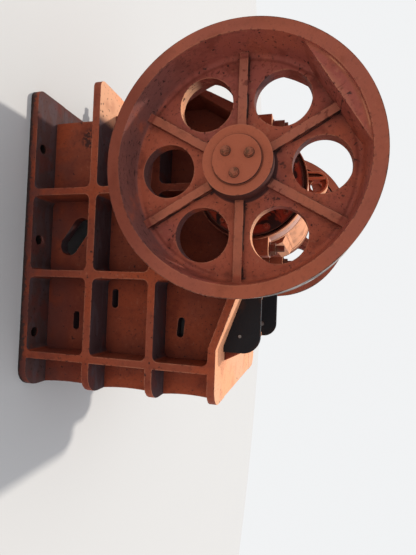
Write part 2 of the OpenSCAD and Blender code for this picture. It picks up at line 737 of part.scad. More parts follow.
// The tension rod's own frame: origin at its rear end, +X along it to the swing jaw.
module along_rod() translate([-rod_reach, 0, rod_rear_z]) rotate([0, -rod_angle, 0]) children();
rod_l = (rod_front_x + rod_reach) / cos(rod_angle);
spring_front = (rod_reach - rear_reach) / cos(rod_angle) - 12;
spring_pad_h = 30;
spring_seat_t = 16;
spring_l = 170;

module tension_rod() {
    color("gray") placed() along_rod() rotate([0, 90, 0]) cylinder(d = rod_d, h = rod_l);
}

module spring_seat() {
    color("gray") placed() along_rod() for (x = [spring_front - spring_seat_t, spring_front - spring_l - 2 * spring_seat_t])
        translate([x, 0, 0]) rotate([0, 90, 0]) difference() {
            cylinder(d = spring_d + 2 * spring_wire, h = spring_seat_t);
            translate([0, 0, -cut]) cylinder(d = rod_d + 2 * fit, h = spring_seat_t + 2 * cut);
        }
}

// A coil spring swept as rings of points.
module tension_spring() {
    sides = 8;
    per_turn = 20;
    steps = spring_turns * per_turn;
    rise = spring_l - spring_wire;
    wire = spring_wire / 2;
    points = [for (i = [0:steps]) for (j = [0:sides - 1])
        let (a = 360 * i / per_turn, b = 360 * j / sides, r = spring_d / 2 + wire * cos(b))
        [rise * i / steps + wire + wire * sin(b), r * cos(a), r * sin(a)]];
    walls = [for (i = [0:steps - 1]) for (j = [0:sides - 1])
        let (k = (j + 1) % sides)
        [i * sides + j, i * sides + k, (i + 1) * sides + k, (i + 1) * sides + j]];
    ends = [[for (j = [sides - 1:-1:0]) j], [for (j = [0:sides - 1]) steps * sides + j]];
    color("gray") placed() along_rod() translate([spring_front - spring_seat_t - spring_l, 0, 0])
        polyhedron(points, concat(walls, ends));
}

module tension_nuts() {
    nut_t = 26;
    color("gray") placed() along_rod() for (i = [0, 1])
        translate([spring_front - spring_l - 2 * spring_seat_t - (i + 1) * nut_t, 0, 0]) rotate([0, 90, 0]) difference() {
            cylinder(d = 62, h = nut_t, $fn = 6);
            translate([0, 0, -cut]) cylinder(d = rod_d + 2 * fit, h = nut_t + 2 * cut);
        }
}

module eccentric_shaft() {
    seat_in = housing_out;
    color("gray") placed() union() {
        round_y(0, shaft_h, wheel_seat_d, -hub_out + fit, 2 * hub_out - 2 * fit);
        round_y(0, shaft_h, journal_d, -seat_in, 2 * seat_in);
        round_y(0, shaft_h + throw, eccentric_d, -housing_in + barrel_gap, 2 * housing_in - 2 * barrel_gap);
    }
}

// Half of a wheel's section: distance from the axis, and from the wheel's inner face.
module wheel_section() {
    hub_end = wheel_w - hub_inset;
    web_end = wheel_w - web_inset;
    web_start = web_end - web_t;
    deep_r = rim_in_r - rim_draft;
    hub_r = hub_d / 2;
    f = web_fillet;
    polygon(rounded([
        [wheel_seat_d / 2 + fit, hub_end - hub_l], [hub_r, hub_end - hub_l], [hub_r, web_start], [deep_r, web_start],
        [rim_in_r, 0], [wheel_r, 0], [wheel_r, wheel_w], [rim_in_r, wheel_w],
        [deep_r, web_end], [hub_r, web_end], [hub_r, hub_end], [wheel_seat_d / 2 + fit, hub_end]
    ], [0, 0, f, f, 0, 0, 0, 0, f, f, 0, 0], 3));
}

// A wheel with its outer face towards +Y. Its children are cut out of the section.
module wheel() {
    difference() {
        union() {
            translate([0, wheel_in, shaft_h]) rotate([-90, 0, 0]) rotate_extrude() difference() {
                wheel_section();
                children();
            }
            for (i = [0:web_holes - 1]) translate([0, 0, shaft_h]) rotate([0, -i * 360 / web_holes, 0])
                translate([hub_d / 2 - 20, web_out - web_t - spoke_h, -spoke_w / 2])
                    cube([rim_in_r - hub_d / 2 + 20, web_t + 2 * spoke_h, spoke_w]);
            counterweight();
        }
        for (i = [0:web_holes - 1]) {
            a = (i + 0.5) * 360 / web_holes;
            round_y(web_hole_pitch * cos(a), shaft_h + web_hole_pitch * sin(a), web_hole_d,
                    web_out - web_t - cut, web_t + 2 * cut);
        }
    }
}

// A segment cast in the rim, cut off by a flat.
module counterweight() {
    l = web_inset - weight_inset;
    intersection() {
        round_y(0, shaft_h, wheel_d - rim_t, web_out - cut, l + cut);
        translate([0, 0, shaft_h]) rotate([0, -weight_angle, 0])
            translate([weight_chord, web_out - cut, -wheel_r]) cube([wheel_r, l + cut, wheel_d]);
    }
}

module flywheel() {
    color("orangered") placed() on_side(-1) wheel();
}

module drive_pulley() {
    first = (wheel_w - (grooves - 1) * groove_pitch) / 2;
    color("orangered") placed() wheel()
        for (i = [0:grooves - 1]) translate([wheel_r, first + i * groove_pitch])
            polygon([[cut, -groove_w / 2], [0, -groove_w / 2], [-groove_h, -groove_w / 4],
                     [-groove_h, groove_w / 4], [0, groove_w / 2], [cut, groove_w / 2]]);
}

module end_cap(side) {
    color("orangered") placed() on_side(side) round_y(0, shaft_h, end_cap_d, hub_out, end_cap_t);
}
module end_cap_near() end_cap(-1);
module end_cap_far() end_cap(1);

module end_bolt_set(side) {
    head_h = 16;
    color("orangered") placed() on_side(side) for (i = [0:end_bolts - 1]) {
        a = -7 + i * 360 / end_bolts;
        translate([end_bolt_pitch * cos(a), hub_out + end_cap_t + head_h, shaft_h + end_bolt_pitch * sin(a)])
            rotate([90, 0, 0]) cylinder(d = end_bolt_af / cos(30), h = head_h, $fn = 6);
    }
}
module end_bolts_near() end_bolt_set(-1);
module end_bolts_far() end_bolt_set(1);

side_frame_near();
side_frame_far();
front_wall();
rear_wall();
bearing_cap_near();
bearing_cap_far();
bearing_near();
bearing_far();
bearing_cover_near();
bearing_cover_far();
cap_studs_near();
cap_studs_far();
fixed_jaw_plate();
fixed_jaw_ledge();
swing_jaw();
swing_jaw_plate();
jaw_wedge();
cheek_plate_near();
cheek_plate_far();
guard_plate_near();
guard_plate_far();
guard_bracket_near();
guard_bracket_far();
lifting_lug();
toggle_plate();
toggle_seat_front();
toggle_seat_rear();
toggle_beam();
adjusting_shims();
tension_rod();
tension_spring();
spring_seat();
tension_nuts();
eccentric_shaft();
flywheel();
drive_pulley();
end_cap_near();
end_cap_far();
end_bolts_near();
end_bolts_far();
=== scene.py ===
"""The finish of a jaw crusher: cast edges, weathered paint, bolts and bare steel, on a pale stage.

Metres, +Z up, +X to the feed end. The shaft runs along Y, with the flywheel on the -Y side.
"""

import json
import math

import bmesh
import bpy
from mathutils import Matrix, Vector


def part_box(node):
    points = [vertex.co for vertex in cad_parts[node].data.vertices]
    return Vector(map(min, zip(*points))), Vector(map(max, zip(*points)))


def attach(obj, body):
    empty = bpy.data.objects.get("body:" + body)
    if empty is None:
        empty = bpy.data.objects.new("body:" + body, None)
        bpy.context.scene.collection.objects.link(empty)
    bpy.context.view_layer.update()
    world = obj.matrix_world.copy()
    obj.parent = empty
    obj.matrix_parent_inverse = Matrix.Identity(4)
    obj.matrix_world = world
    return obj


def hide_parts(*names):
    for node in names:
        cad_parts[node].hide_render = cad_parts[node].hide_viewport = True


bl_info = {
    "name": "Jaw crusher finish",
    "version": (1, 0, 0),
    "blender": (4, 5, 0),
    "location": "3D View > Sidebar > Crusher",
    "description": "Finishes a jaw crusher's castings, wheels, jaws and fastenings",
    "category": "Object",
}

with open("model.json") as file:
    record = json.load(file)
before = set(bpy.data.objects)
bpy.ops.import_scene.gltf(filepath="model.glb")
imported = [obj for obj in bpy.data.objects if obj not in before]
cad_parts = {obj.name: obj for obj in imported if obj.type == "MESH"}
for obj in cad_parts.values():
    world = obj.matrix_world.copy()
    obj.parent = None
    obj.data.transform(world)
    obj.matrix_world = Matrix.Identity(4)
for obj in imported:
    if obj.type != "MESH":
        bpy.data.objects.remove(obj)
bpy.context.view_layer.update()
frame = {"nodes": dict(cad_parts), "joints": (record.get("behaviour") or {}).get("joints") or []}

NODES = frame["nodes"]
SHAFT = Vector(frame["joints"][0]["pos_m"])
SIDES = {"near": -1, "far": 1}


class Wheel:
    """Both wheels' radii, and the distances of their faces from the machine's middle."""

    outside, rim, web_edge, hub, cap = 0.520, 0.457, 0.440, 0.135, 0.095
    hole, hole_pitch, holes = 0.112, 0.310, 6
    web_front, web_back, rim_end = 0.7373, 0.7078, 0.6258
    spoke_half, spoke_rise = 0.018, 0.024
    bolt_pitch, bolts, first_bolt = 0.052, 3, math.radians(-7)


class Frame:
    """Places on the frame: distances along the machine, heights, and widths from its middle."""

    chamber = (-0.300, 0.660)
    chamber_wall = 0.372
    rear_wall = -0.50
    base_top, rear_shelf, chamber_top, top_flange = 0.040, 0.320, 0.925, 1.00
    stain = (-0.452, -0.425, 0.262)
    cap_faces = (0.346, 0.452)
    cap_grooves = ((0.312, 0.330, 0.004), (0.388, 0.397, 0.003))


def node_box(name):
    """Lowest and highest corner of a node, as the frame gives them."""
    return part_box(name)


def colour(name, description, default):
    return bpy.props.FloatVectorProperty(
        name=name, description=description, subtype="COLOR", size=4, min=0, max=1, default=(*default, 1)
    )


def length(name, description, default):
    return bpy.props.FloatProperty(
        name=name, description=description, default=default, min=0, subtype="DISTANCE", unit="LENGTH"
    )


class CrusherPaint(bpy.types.PropertyGroup):
    """Colours of the paint and of what has settled on it."""

    fresh: colour("Fresh paint", "Frame paint where it has kept its colour", (0.330, 0.058, 0.018))
    faded: colour("Faded paint", "Frame paint that has weathered", (0.255, 0.052, 0.022))
    jaw: colour("Jaw paint", "Paint on the swing jaw and the bearing caps", (0.330, 0.048, 0.014))
    wheel: colour("Wheel paint", "Paint on the wheels' front faces", (0.372, 0.081, 0.039))
    wheel_faded: colour("Faded wheel paint", "Browner paint on the wheels", (0.292, 0.067, 0.045))
    rim: colour("Rim paint", "Paint on the rims' faces", (0.315, 0.084, 0.038))
    hub: colour("Hub paint", "Paint on the hubs and end caps", (0.360, 0.078, 0.030))
    cover: colour("Cover paint", "Paint on the bearing covers", (0.420, 0.042, 0.012))
    cover_faded: colour("Faded cover paint", "Duller paint on the covers", (0.300, 0.030, 0.012))
    bolt: colour("Bolt paint", "Paint left on the end caps' bolts", (0.300, 0.085, 0.042))
    # Deep paint is also laid as painted shade in large sheltered hollows, below the barrel and on the upper
    # walls of the web's holes.
    deep: colour("Deep paint", "Paint in rain streaks and recesses", (0.130, 0.020, 0.010))
    # Bleached paint that also serves as painted sunlight on the upward faces and holes that lie in the sun,
    # and as a painted highlight along the rims' inner edge.
    sunlit_bleached: colour("Bleached paint", "Paint that lies open to the sun", (0.830, 0.362, 0.185))
    stained: colour("Stained paint", "Brown stains on bleached paint", (0.330, 0.130, 0.066))
    # Painted sheen: a light colour that stands in for a reflection on the near bearing cap.
    glossy: colour("Glossy paint", "Smooth bands on the near bearing cap", (0.640, 0.400, 0.340))
    worn: colour("Worn edge", "Rubbed paint along the edges", (0.420, 0.150, 0.080))
    # Pale dust made light enough to serve also as painted sunlight.
    sunlit_pale_dust: colour("Pale dust", "Dust on paint that lies open to the sun", (0.740, 0.375, 0.215))
    # Dust made dark to serve also as painted shade on the sheltered shelves.
    shaded_dust: colour("Dust", "Dark dust on sheltered shelves", (0.058, 0.032, 0.034))
    swept: colour("Swept dust", "Streaks in that dust", (0.085, 0.058, 0.062))
    # Dirt and painted shade in the shelves' corners.
    corner: colour("Corner dirt", "Dirt in the shelves' corners", (0.022, 0.014, 0.015))
    rim_dust: colour("Rim dust", "Dust on the inside of the rims", (0.150, 0.064, 0.056))
    hub_dirt: colour("Hub dirt", "Dirt around the sides of the hubs", (0.050, 0.020, 0.018))
    dirt: colour("Dirt", "Dirt near the floor", (0.075, 0.038, 0.034))
    foot: colour("Foot", "Bare metal and soil along the floor", (0.040, 0.022, 0.018))
    # Chips are also laid as painted shade in the chamber and below the barrel, and as painted shadow lines
    # around the end caps and their washers.
    chip: colour("Chips", "Dark metal where the paint has gone", (0.026, 0.011, 0.009))


class CrusherSteel(bpy.types.PropertyGroup):
    """Colours of the parts that aren't painted orange."""

    guard: colour("Guard plates", "Black paint on the guard plates", (0.008, 0.0075, 0.009))
    rust: colour("Rust", "Rust on studs, nuts and plates", (0.130, 0.045, 0.020))
    manganese: colour("Jaw plates", "Cast manganese steel", (0.100, 0.088, 0.080))
    turned: colour("Turned steel", "Shaft, rod and spring", (0.220, 0.205, 0.190))
    tread: colour("Wheel tread", "Worn grey steel around the wheels", (0.500, 0.465, 0.415))
    tread_band: colour("Tread bands", "Browner bands around the tread", (0.180, 0.125, 0.100))
    # Grease is also laid as painted shade in recesses, in the base's bolt holes and on the jaw plates.
    grease: colour("Grease", "Old grease in the bearing grooves", (0.010, 0.006, 0.005))


class CrusherEdges(bpy.types.PropertyGroup):
    """How far the castings' and plates' edges are rounded."""

    casting: length("Castings", "Rounding of a casting's edges", 0.006)
    wheel: length("Wheels", "Rounding of a wheel's edges", 0.004)
    plate: length("Plates", "Rounding of a plate's edges", 0.0015)


class CrusherForms(bpy.types.PropertyGroup):
    """Sizes of the cast forms that the finish adds."""

    web: length("Web", "Thickness of a wheel's web", 0.057)
    rim_back: length("Rim behind the web", "Thickness of a wheel's rim behind its web", 0.084)
    lug_radius: length("Lug", "Outside radius of the lifting lug", 0.064)
    lug_arch: length("Lug arch", "Thickness of the lifting lug's arch", 0.011)
    lug_width: length("Lug width", "Width of that arch", 0.084)
    lug_web: length("Lug web", "Thickness of the web under that arch", 0.020)
    lug_eye: length("Lug eye", "Diameter of the eye in that web", 0.062)
    flange: length("Rear flange", "Thickness of the side walls' rear flange", 0.036)


class CrusherBolts(bpy.types.PropertyGroup):
    """Sizes of the fastenings that only the finish shows."""

    cover_pitch: length("Cover bolt circle", "Radius of the bolt circle on a bearing cover", 0.207)
    cover_bolts: bpy.props.IntProperty(name="Cover bolts", description="Bolts on a cover", default=12, min=1)
    cover_head: length("Cover bolt heads", "Width across the flats of a cover's bolt heads", 0.019)
    cover_washer: length("Cover washers", "Diameter of the washers on a bearing cover", 0.030)
    end_washer: length("End washers", "Diameter of the washers on a wheel's end cap", 0.036)
    small_stud: length("Small stud", "Diameter of a cap lug's second stud", 0.020)
    small_nut: length("Small nut", "Width across the flats of its nut", 0.030)
    guard_head: length("Guard bolts", "Width across the flats of the guard bolts' heads", 0.024)


class CrusherStage(bpy.types.PropertyGroup):
    """Floor, light and camera."""

    floor: colour("Floor", "Colour of the floor", (0.57, 0.56, 0.54))
    cloud: colour("Floor clouds", "Faint clouds on the floor", (0.5, 0.5, 0.5))
    sky: colour("Surroundings", "Colour of the soft light from all sides", (0.90, 0.93, 1.0))
    backdrop: colour("Backdrop", "What the camera sees behind the floor", (0.93, 0.94, 0.95))
    fill: bpy.props.FloatProperty(name="Fill", description="Strength of the soft light", default=0.90, min=0)
    key: bpy.props.FloatProperty(name="Key", description="Strength of the high lamp", default=2.8, min=0)
    key_spread: bpy.props.FloatProperty(
        name="Key spread", description="How soft its shadows are", default=math.radians(3), subtype="ANGLE"
    )
    floor_reach: length("Floor reach", "Radius of the floor", 9.0)


class Finish:
    """One material, whose nodes are added in order. Inputs are numbers, colours or other nodes' outputs."""

    def __init__(self, name, base, roughness=0.6, metallic=0.0, specular=0.35):
        self.material = bpy.data.materials.new("finish_" + name)
        self.material.use_nodes = True
        self.tree = self.material.node_tree
        self.tree.nodes.clear()
        principled = {"Roughness": roughness, "Metallic": metallic, "Specular IOR Level": specular}
        self.surface = self.node("BsdfPrincipled", principled)
        out = self.node("OutputMaterial")
        self.tree.links.new(self.surface.outputs[0], out.inputs["Surface"])
        place = self.node("TexCoord")
        self.place = place.outputs["Object"]
        self.normal = place.outputs["Normal"]
        self.facing = self.split(self.normal)
        self.spot = self.split(self.place)
        self.tint = base

    def node(self, kind, inputs=(), **settings):
        """A new node; inputs pairs the names or numbers of its sockets with what feeds them."""
        node = self.tree.nodes.new("ShaderNode" + kind)
        for key, value in settings.items():
            setattr(node, key, value)
        for socket, value in dict(inputs).items():
            self.feed(node.inputs[socket], value)
        return node

    def feed(self, socket, value):
        if isinstance(value, bpy.types.NodeSocket):
            self.tree.links.new(value, socket)
        else:
            socket.default_value = value

    def split(self, vector):
        return self.node("SeparateXYZ", {0: vector}).outputs

    def noise(self, scale, detail=4.0, stretch=(1, 1, 1), warp=0.0, shift=(0, 0, 0), place=None):
        """A cloudy value around 0.5; scale is in spots a metre."""
        source = place or self.place
        moved = self.node("Mapping", {"Vector": source, "Location": shift, "Scale": stretch}).outputs[0]
        clouds = {"Vector": moved, "Scale": scale, "Detail": detail, "Distortion": warp}
        return self.node("TexNoise", clouds).outputs["Fac"]

    def math(self, operation, *values, clamp=False):
        return self.node("Math", enumerate(values), operation=operation, use_clamp=clamp).outputs[0]

    def vector(self, operation, *values, output="Vector"):
        return self.node("VectorMath", enumerate(values), operation=operation).outputs[output]

    def between(self, value, low, high):
        """0 at low and 1 at high, with a soft run between them; low may be above high."""
        run = {"Value": value, "From Min": low, "From Max": high}
        return self.node("MapRange", run, interpolation_type="SMOOTHSTEP").outputs["Result"]

    def beyond(self, value, edge, soft):
        """0 below an edge and 1 above it."""
        return self.between(value, edge - soft, edge + soft)

    def within(self, value, edge, soft):
        """1 below an edge and 0 above it."""
        return self.between(value, edge + soft, edge - soft)

    def band(self, value, low, high, soft):
        """1 between low and high."""
        return self.both(self.beyond(value, low, soft), self.within(value, high, soft))

    def near_to(self, place, reach, soft=0.5):
        """1 close to a place and 0 beyond reach."""
        gap = self.vector("DISTANCE", self.place, place, output="Value")
        return self.between(gap, reach, reach * soft)

    def both(self, a, b):
        return self.math("MULTIPLY", a, b, clamp=True)

    def either(self, a, b):
        return self.math("MAXIMUM", a, b, clamp=True)

    def without(self, a):
        return self.math("SUBTRACT", 1.0, a, clamp=True)

    def mix(self, share, a, b):
        return self.node("Mix", {"Factor": share, 6: a, 7: b}, data_type="RGBA").outputs[2]

    def lay(self, share, colour, *where):
        """Covers a share of the tint with a colour, where all the masks are 1."""
        for mask in where:
            share = self.both(share, mask)
        self.tint = self.mix(share, self.tint, colour)

    def open_air(self, reach):
        """1 on open surfaces, less where others stand closer than reach."""
        return self.node("AmbientOcclusion", {"Distance": reach}, samples=4).outputs["AO"]

    def corners(self, reach):
        """(edge, and the recess mask): 1 along outward edges, and 1 deep in corners, where dirt and painted
        shade are laid.
        """
        rounded = self.node("Bevel", {"Radius": reach}, samples=4).outputs[0]
        flat = self.node("NewGeometry").outputs["Normal"]
        turn = self.vector("DOT_PRODUCT", rounded, flat, output="Value")
        open_air = self.open_air(6 * reach)
        edge = self.both(self.between(turn, 0.985, 0.86), self.between(open_air, 0.62, 0.85))
        return edge, self.between(open_air, 0.66, 0.30)

    def around_shaft(self):
        """Works out the arm from the shaft, its length, and how far the surface faces along it."""
        arm = self.vector("SUBTRACT", self.place, tuple(SHAFT))
        self.arm = self.split(arm)
        flat = self.vector("MULTIPLY", arm, (1, 0, 1))
        self.radius = self.vector("LENGTH", flat, output="Value")
        self.away = self.vector("DOT_PRODUCT", self.vector("NORMALIZE", flat), self.normal, output="Value")
        self.angle = self.math("ARCTAN2", self.arm["Z"], self.arm["X"])

    def done(self, *layers, rough=None):
        """Joins the tint, the roughness (value, low, high) and bumps of (height value, depth in metres)."""
        self.feed(self.surface.inputs["Base Color"], self.tint)
        if rough:
            run = dict(zip(("Value", "To Min", "To Max"), rough))
            self.feed(self.surface.inputs["Roughness"], self.node("MapRange", run).outputs["Result"])
        below = {}
        for height, depth in layers:
            bump = self.node("Bump", {"Distance": depth, "Strength": 0.8, "Height": height, **below})
            below = {"Normal": bump.outputs[0]}
        for socket, value in below.items():
            self.feed(self.surface.inputs[socket], value)
        return self.material


class CastPaint(Finish):
    """Weathered orange-red paint on a casting, built up coat by coat."""

    def __init__(self, name, fresh, faded):
        super().__init__(name, fresh, roughness=0.62, specular=0.22)
        self.blotch = self.noise(2.6, detail=6, warp=0.6)
        self.patch = self.noise(8.0, detail=6, shift=(3, 1, 5))
        self.grain = self.noise(55.0, detail=5)
        self.flake = self.noise(52.0, detail=8, warp=0.4, shift=(1, 8, 4))
        self.speck = self.noise(120.0, detail=3, shift=(7, 2, 9))
        self.edge, self.recess_dirt_and_shade = self.corners(0.010)
        self.upward = self.between(self.facing["Z"], 0.45, 0.85)
        self.bare = 0.0
        self.lay(self.between(self.blotch, 0.40, 0.62), faded)

    def weather(self, paint, stains=0.4, recess_dirt_and_shade=0.85):
        """Rain streaks, stains, rubbed edges, and dirt and painted shade in the corners."""
        streak = self.noise(7.0, detail=5, stretch=(1, 1, 0.12))
        self.lay(0.50, paint.deep, self.between(streak, 0.52, 0.74), self.without(self.upward))
        self.lay(stains, paint.deep, self.between(self.patch, 0.55, 0.68))
        self.lay(0.30, paint.worn, self.between(self.grain, 0.58, 0.75))
        self.lay(0.22, paint.chip, self.between(self.grain, 0.44, 0.34))
        self.lay(self.edge, paint.worn, self.between(self.patch, 0.34, 0.52))
        # Dirt and painted shade: dark paint deep in the corners, where the ambient occlusion is low.
        self.lay(recess_dirt_and_shade, paint.chip, self.recess_dirt_and_shade, self.between(self.patch, 0.22, 0.50))

    def flakes(self, paint, amount=0.8):
        """Small irregular spots and nicks where the paint has gone."""
        spots = self.both(self.between(self.flake, 0.645, 0.675), self.between(self.blotch, 0.42, 0.54))
        dots = self.both(self.between(self.speck, 0.665, 0.685), self.between(self.blotch, 0.62, 0.50))
        nicks = self.both(self.between(self.edge, 0.35, 0.8), self.between(self.flake, 0.56, 0.60))
        self.bare = self.either(self.both(self.either(spots, dots), amount), self.both(nicks, 0.9))
        self.lay(self.bare, paint.chip)

    def coated(self):
        relief = ((self.grain, 0.0012), (self.patch, 0.004), (self.without(self.bare), 0.0010))
        return self.done(*relief, rough=(self.either(self.patch, self.upward), 0.50, 0.86))


def frame_paint(name, paint, steel):
    """The frame castings: dark dust and painted shade on the shelves, painted shade in hollows, chamber and
    base holes, bleached flanges with painted sunlight, and dirt near the floor.
    """
    look = CastPaint(name, paint.fresh, paint.faded)
    along, height = look.spot["X"], look.spot["Z"]
    width = look.math("ABSOLUTE", look.spot["Y"])
    look.weather(paint)
    # Painted shade: deep paint in the large sheltered hollows, such as the bays and the wall behind the
    # wheel.
    look.lay(0.75, paint.deep, look.between(look.open_air(0.30), 0.62, 0.28))
    front = look.beyond(along, -0.25, 0.09)
    look.lay(0.60, paint.deep, look.within(height, 0.35, 0.15), look.between(look.patch, 0.30, 0.55), front)
    look.lay(0.85, paint.chip, look.near_to(Frame.stain, 0.075), look.between(look.flake, 0.42, 0.54))
    # Painted shade: near-black paint on the chamber's inner walls below its top.
    chamber = look.band(along, *Frame.chamber, 0.004)
    below_top = look.within(height, Frame.chamber_top, 0.025)
    look.lay(0.85, paint.chip, chamber, below_top, look.within(width, Frame.chamber_wall, 0.003))

    look.lay(0.45, paint.dirt, look.within(height, 0.14, 0.12), look.between(look.patch, 0.42, 0.60))
    ragged = look.math("MULTIPLY_ADD", look.patch, 0.070, -0.065)
    ragged = look.math("MULTIPLY_ADD", look.flake, 0.060, ragged)
    foot = look.within(look.math("ADD", height, ragged), 0.017, 0.007)
    look.lay(0.92, paint.foot, foot, look.without(look.upward))

    # Dark dust and painted shade on the upward faces, turning into dirt near the floor.
    shaded_dust = look.mix(look.between(height, 0.12, 0.05), paint.shaded_dust, paint.dirt)
    look.lay(0.95, shaded_dust, look.upward, look.between(look.patch, 0.12, 0.30))
    swept = look.noise(16.0, detail=7, warp=1.0, stretch=(0.35, 1, 1), shift=(1, 6, 2))
    look.lay(0.55, paint.swept, look.upward, look.between(swept, 0.48, 0.60))
    look.lay(0.45, paint.deep, look.upward, look.between(look.patch, 0.52, 0.64))
    # Dirt and painted shade in the shelves' corners.
    look.lay(0.60, paint.corner, look.upward, look.recess_dirt_and_shade)

    upright = look.between(look.math("ABSOLUTE", look.facing["Z"]), 0.5, 0.3)
    # Painted shade: near black on the walls of the bolt holes through the base.
    bore = look.both(upright, look.within(height, Frame.base_top, 0.002))
    look.lay(0.95, steel.grease, bore, look.between(look.open_air(0.060), 0.80, 0.60))
    # Bleached paint and painted sunlight on the flange tops and the rear shelf, where the sun falls.
    behind = look.within(along, Frame.rear_wall, 0.03)
    open_rear = look.both(behind, look.beyond(height, Frame.rear_shelf, 0.02))
    open_top = look.beyond(height, Frame.top_flange, 0.02)
    sun = look.both(look.upward, look.either(open_top, open_rear))
    look.lay(sun, look.mix(look.between(look.blotch, 0.40, 0.62), paint.sunlit_bleached, paint.sunlit_pale_dust))
    look.lay(0.35, paint.worn, sun, look.between(look.patch, 0.56, 0.70))
    look.flakes(paint)
    return look.coated()


def barrel_paint(name, paint, steel):
    """The swing jaw and the bearing caps: bleached paint with painted sunlight above, brown stains, a painted
    sheen on the near cap, and painted shade below.
    """
    look = CastPaint(name, paint.jaw, paint.faded)
    across, height = look.spot["Y"], look.spot["Z"]
    look.weather(paint, stains=0.3)
    # Painted shade: darker paint below the barrel's middle, and near black further down.
    look.lay(0.85, paint.deep, look.within(height, 1.10, 0.06))
    look.lay(0.85, paint.chip, look.within(height, 0.89, 0.09))
    # Bleached paint and painted sunlight on the upward faces high on the barrel and caps.
    high = look.both(look.between(look.facing["Z"], -0.05, 0.50), look.beyond(height, 1.17, 0.05))
    look.lay(0.95, paint.sunlit_bleached, high)
    soft = look.noise(11.0, detail=4, stretch=(1, 0.3, 1), shift=(6, 1, 2))
    look.lay(0.50, paint.stained, high, look.between(soft, 0.50, 0.66))
    look.lay(0.35, paint.deep, high, look.between(look.patch, 0.40, 0.30))
    cap = look.band(look.math("ABSOLUTE", across), *Frame.cap_faces, 0.004)
    # Painted sheen: light bands on the near cap's faces that stand in for a reflection.
    look.lay(0.70, paint.glossy, high, cap, look.within(across, 0.0, 0.02))
    grooves = [look.band(across, *groove) for groove in Frame.cap_grooves]
    look.lay(0.90, paint.chip, look.either(*grooves), look.between(look.patch, 0.28, 0.42))
    look.lay(0.70, paint.deep, look.beyond(across, 0.41, 0.01))
    look.flakes(paint, amount=0.6)
    return look.coated()


def cover_paint(name, paint, steel):
    """The bearing covers: dark red paint under black grease."""
    look = CastPaint(name, paint.cover, paint.cover_faded)
    look.around_shaft()
    smear = look.noise(9.0, detail=4, warp=1.2, shift=(5, 5, 1))
    # Black around the cover's outer edge and in smears.
    blackened = look.either(look.beyond(look.radius, 0.228, 0.008), look.between(smear, 0.52, 0.60))
    look.lay(0.92, steel.grease, blackened)
    middle = look.between(look.radius, 0.165, 0.140)
    look.lay(0.80, steel.grease, middle, look.between(look.flake, 0.40, 0.52))
    # Grease and painted shade in the recesses.
    look.lay(0.80, steel.grease, look.recess_dirt_and_shade)
    look.lay(0.50, paint.worn, look.edge)
    return look.done((look.grain, 0.0014), (look.patch, 0.005), rough=(look.patch, 0.30, 0.70))


def bolt_places():
    """Places (x, z) of the bolts on an end cap."""
    pitch = Wheel.bolt_pitch
    turns = [Wheel.first_bolt + math.tau * i / Wheel.bolts for i in range(Wheel.bolts)]
    return [(SHAFT.x + pitch * math.cos(a), SHAFT.z + pitch * math.sin(a)) for a in turns]


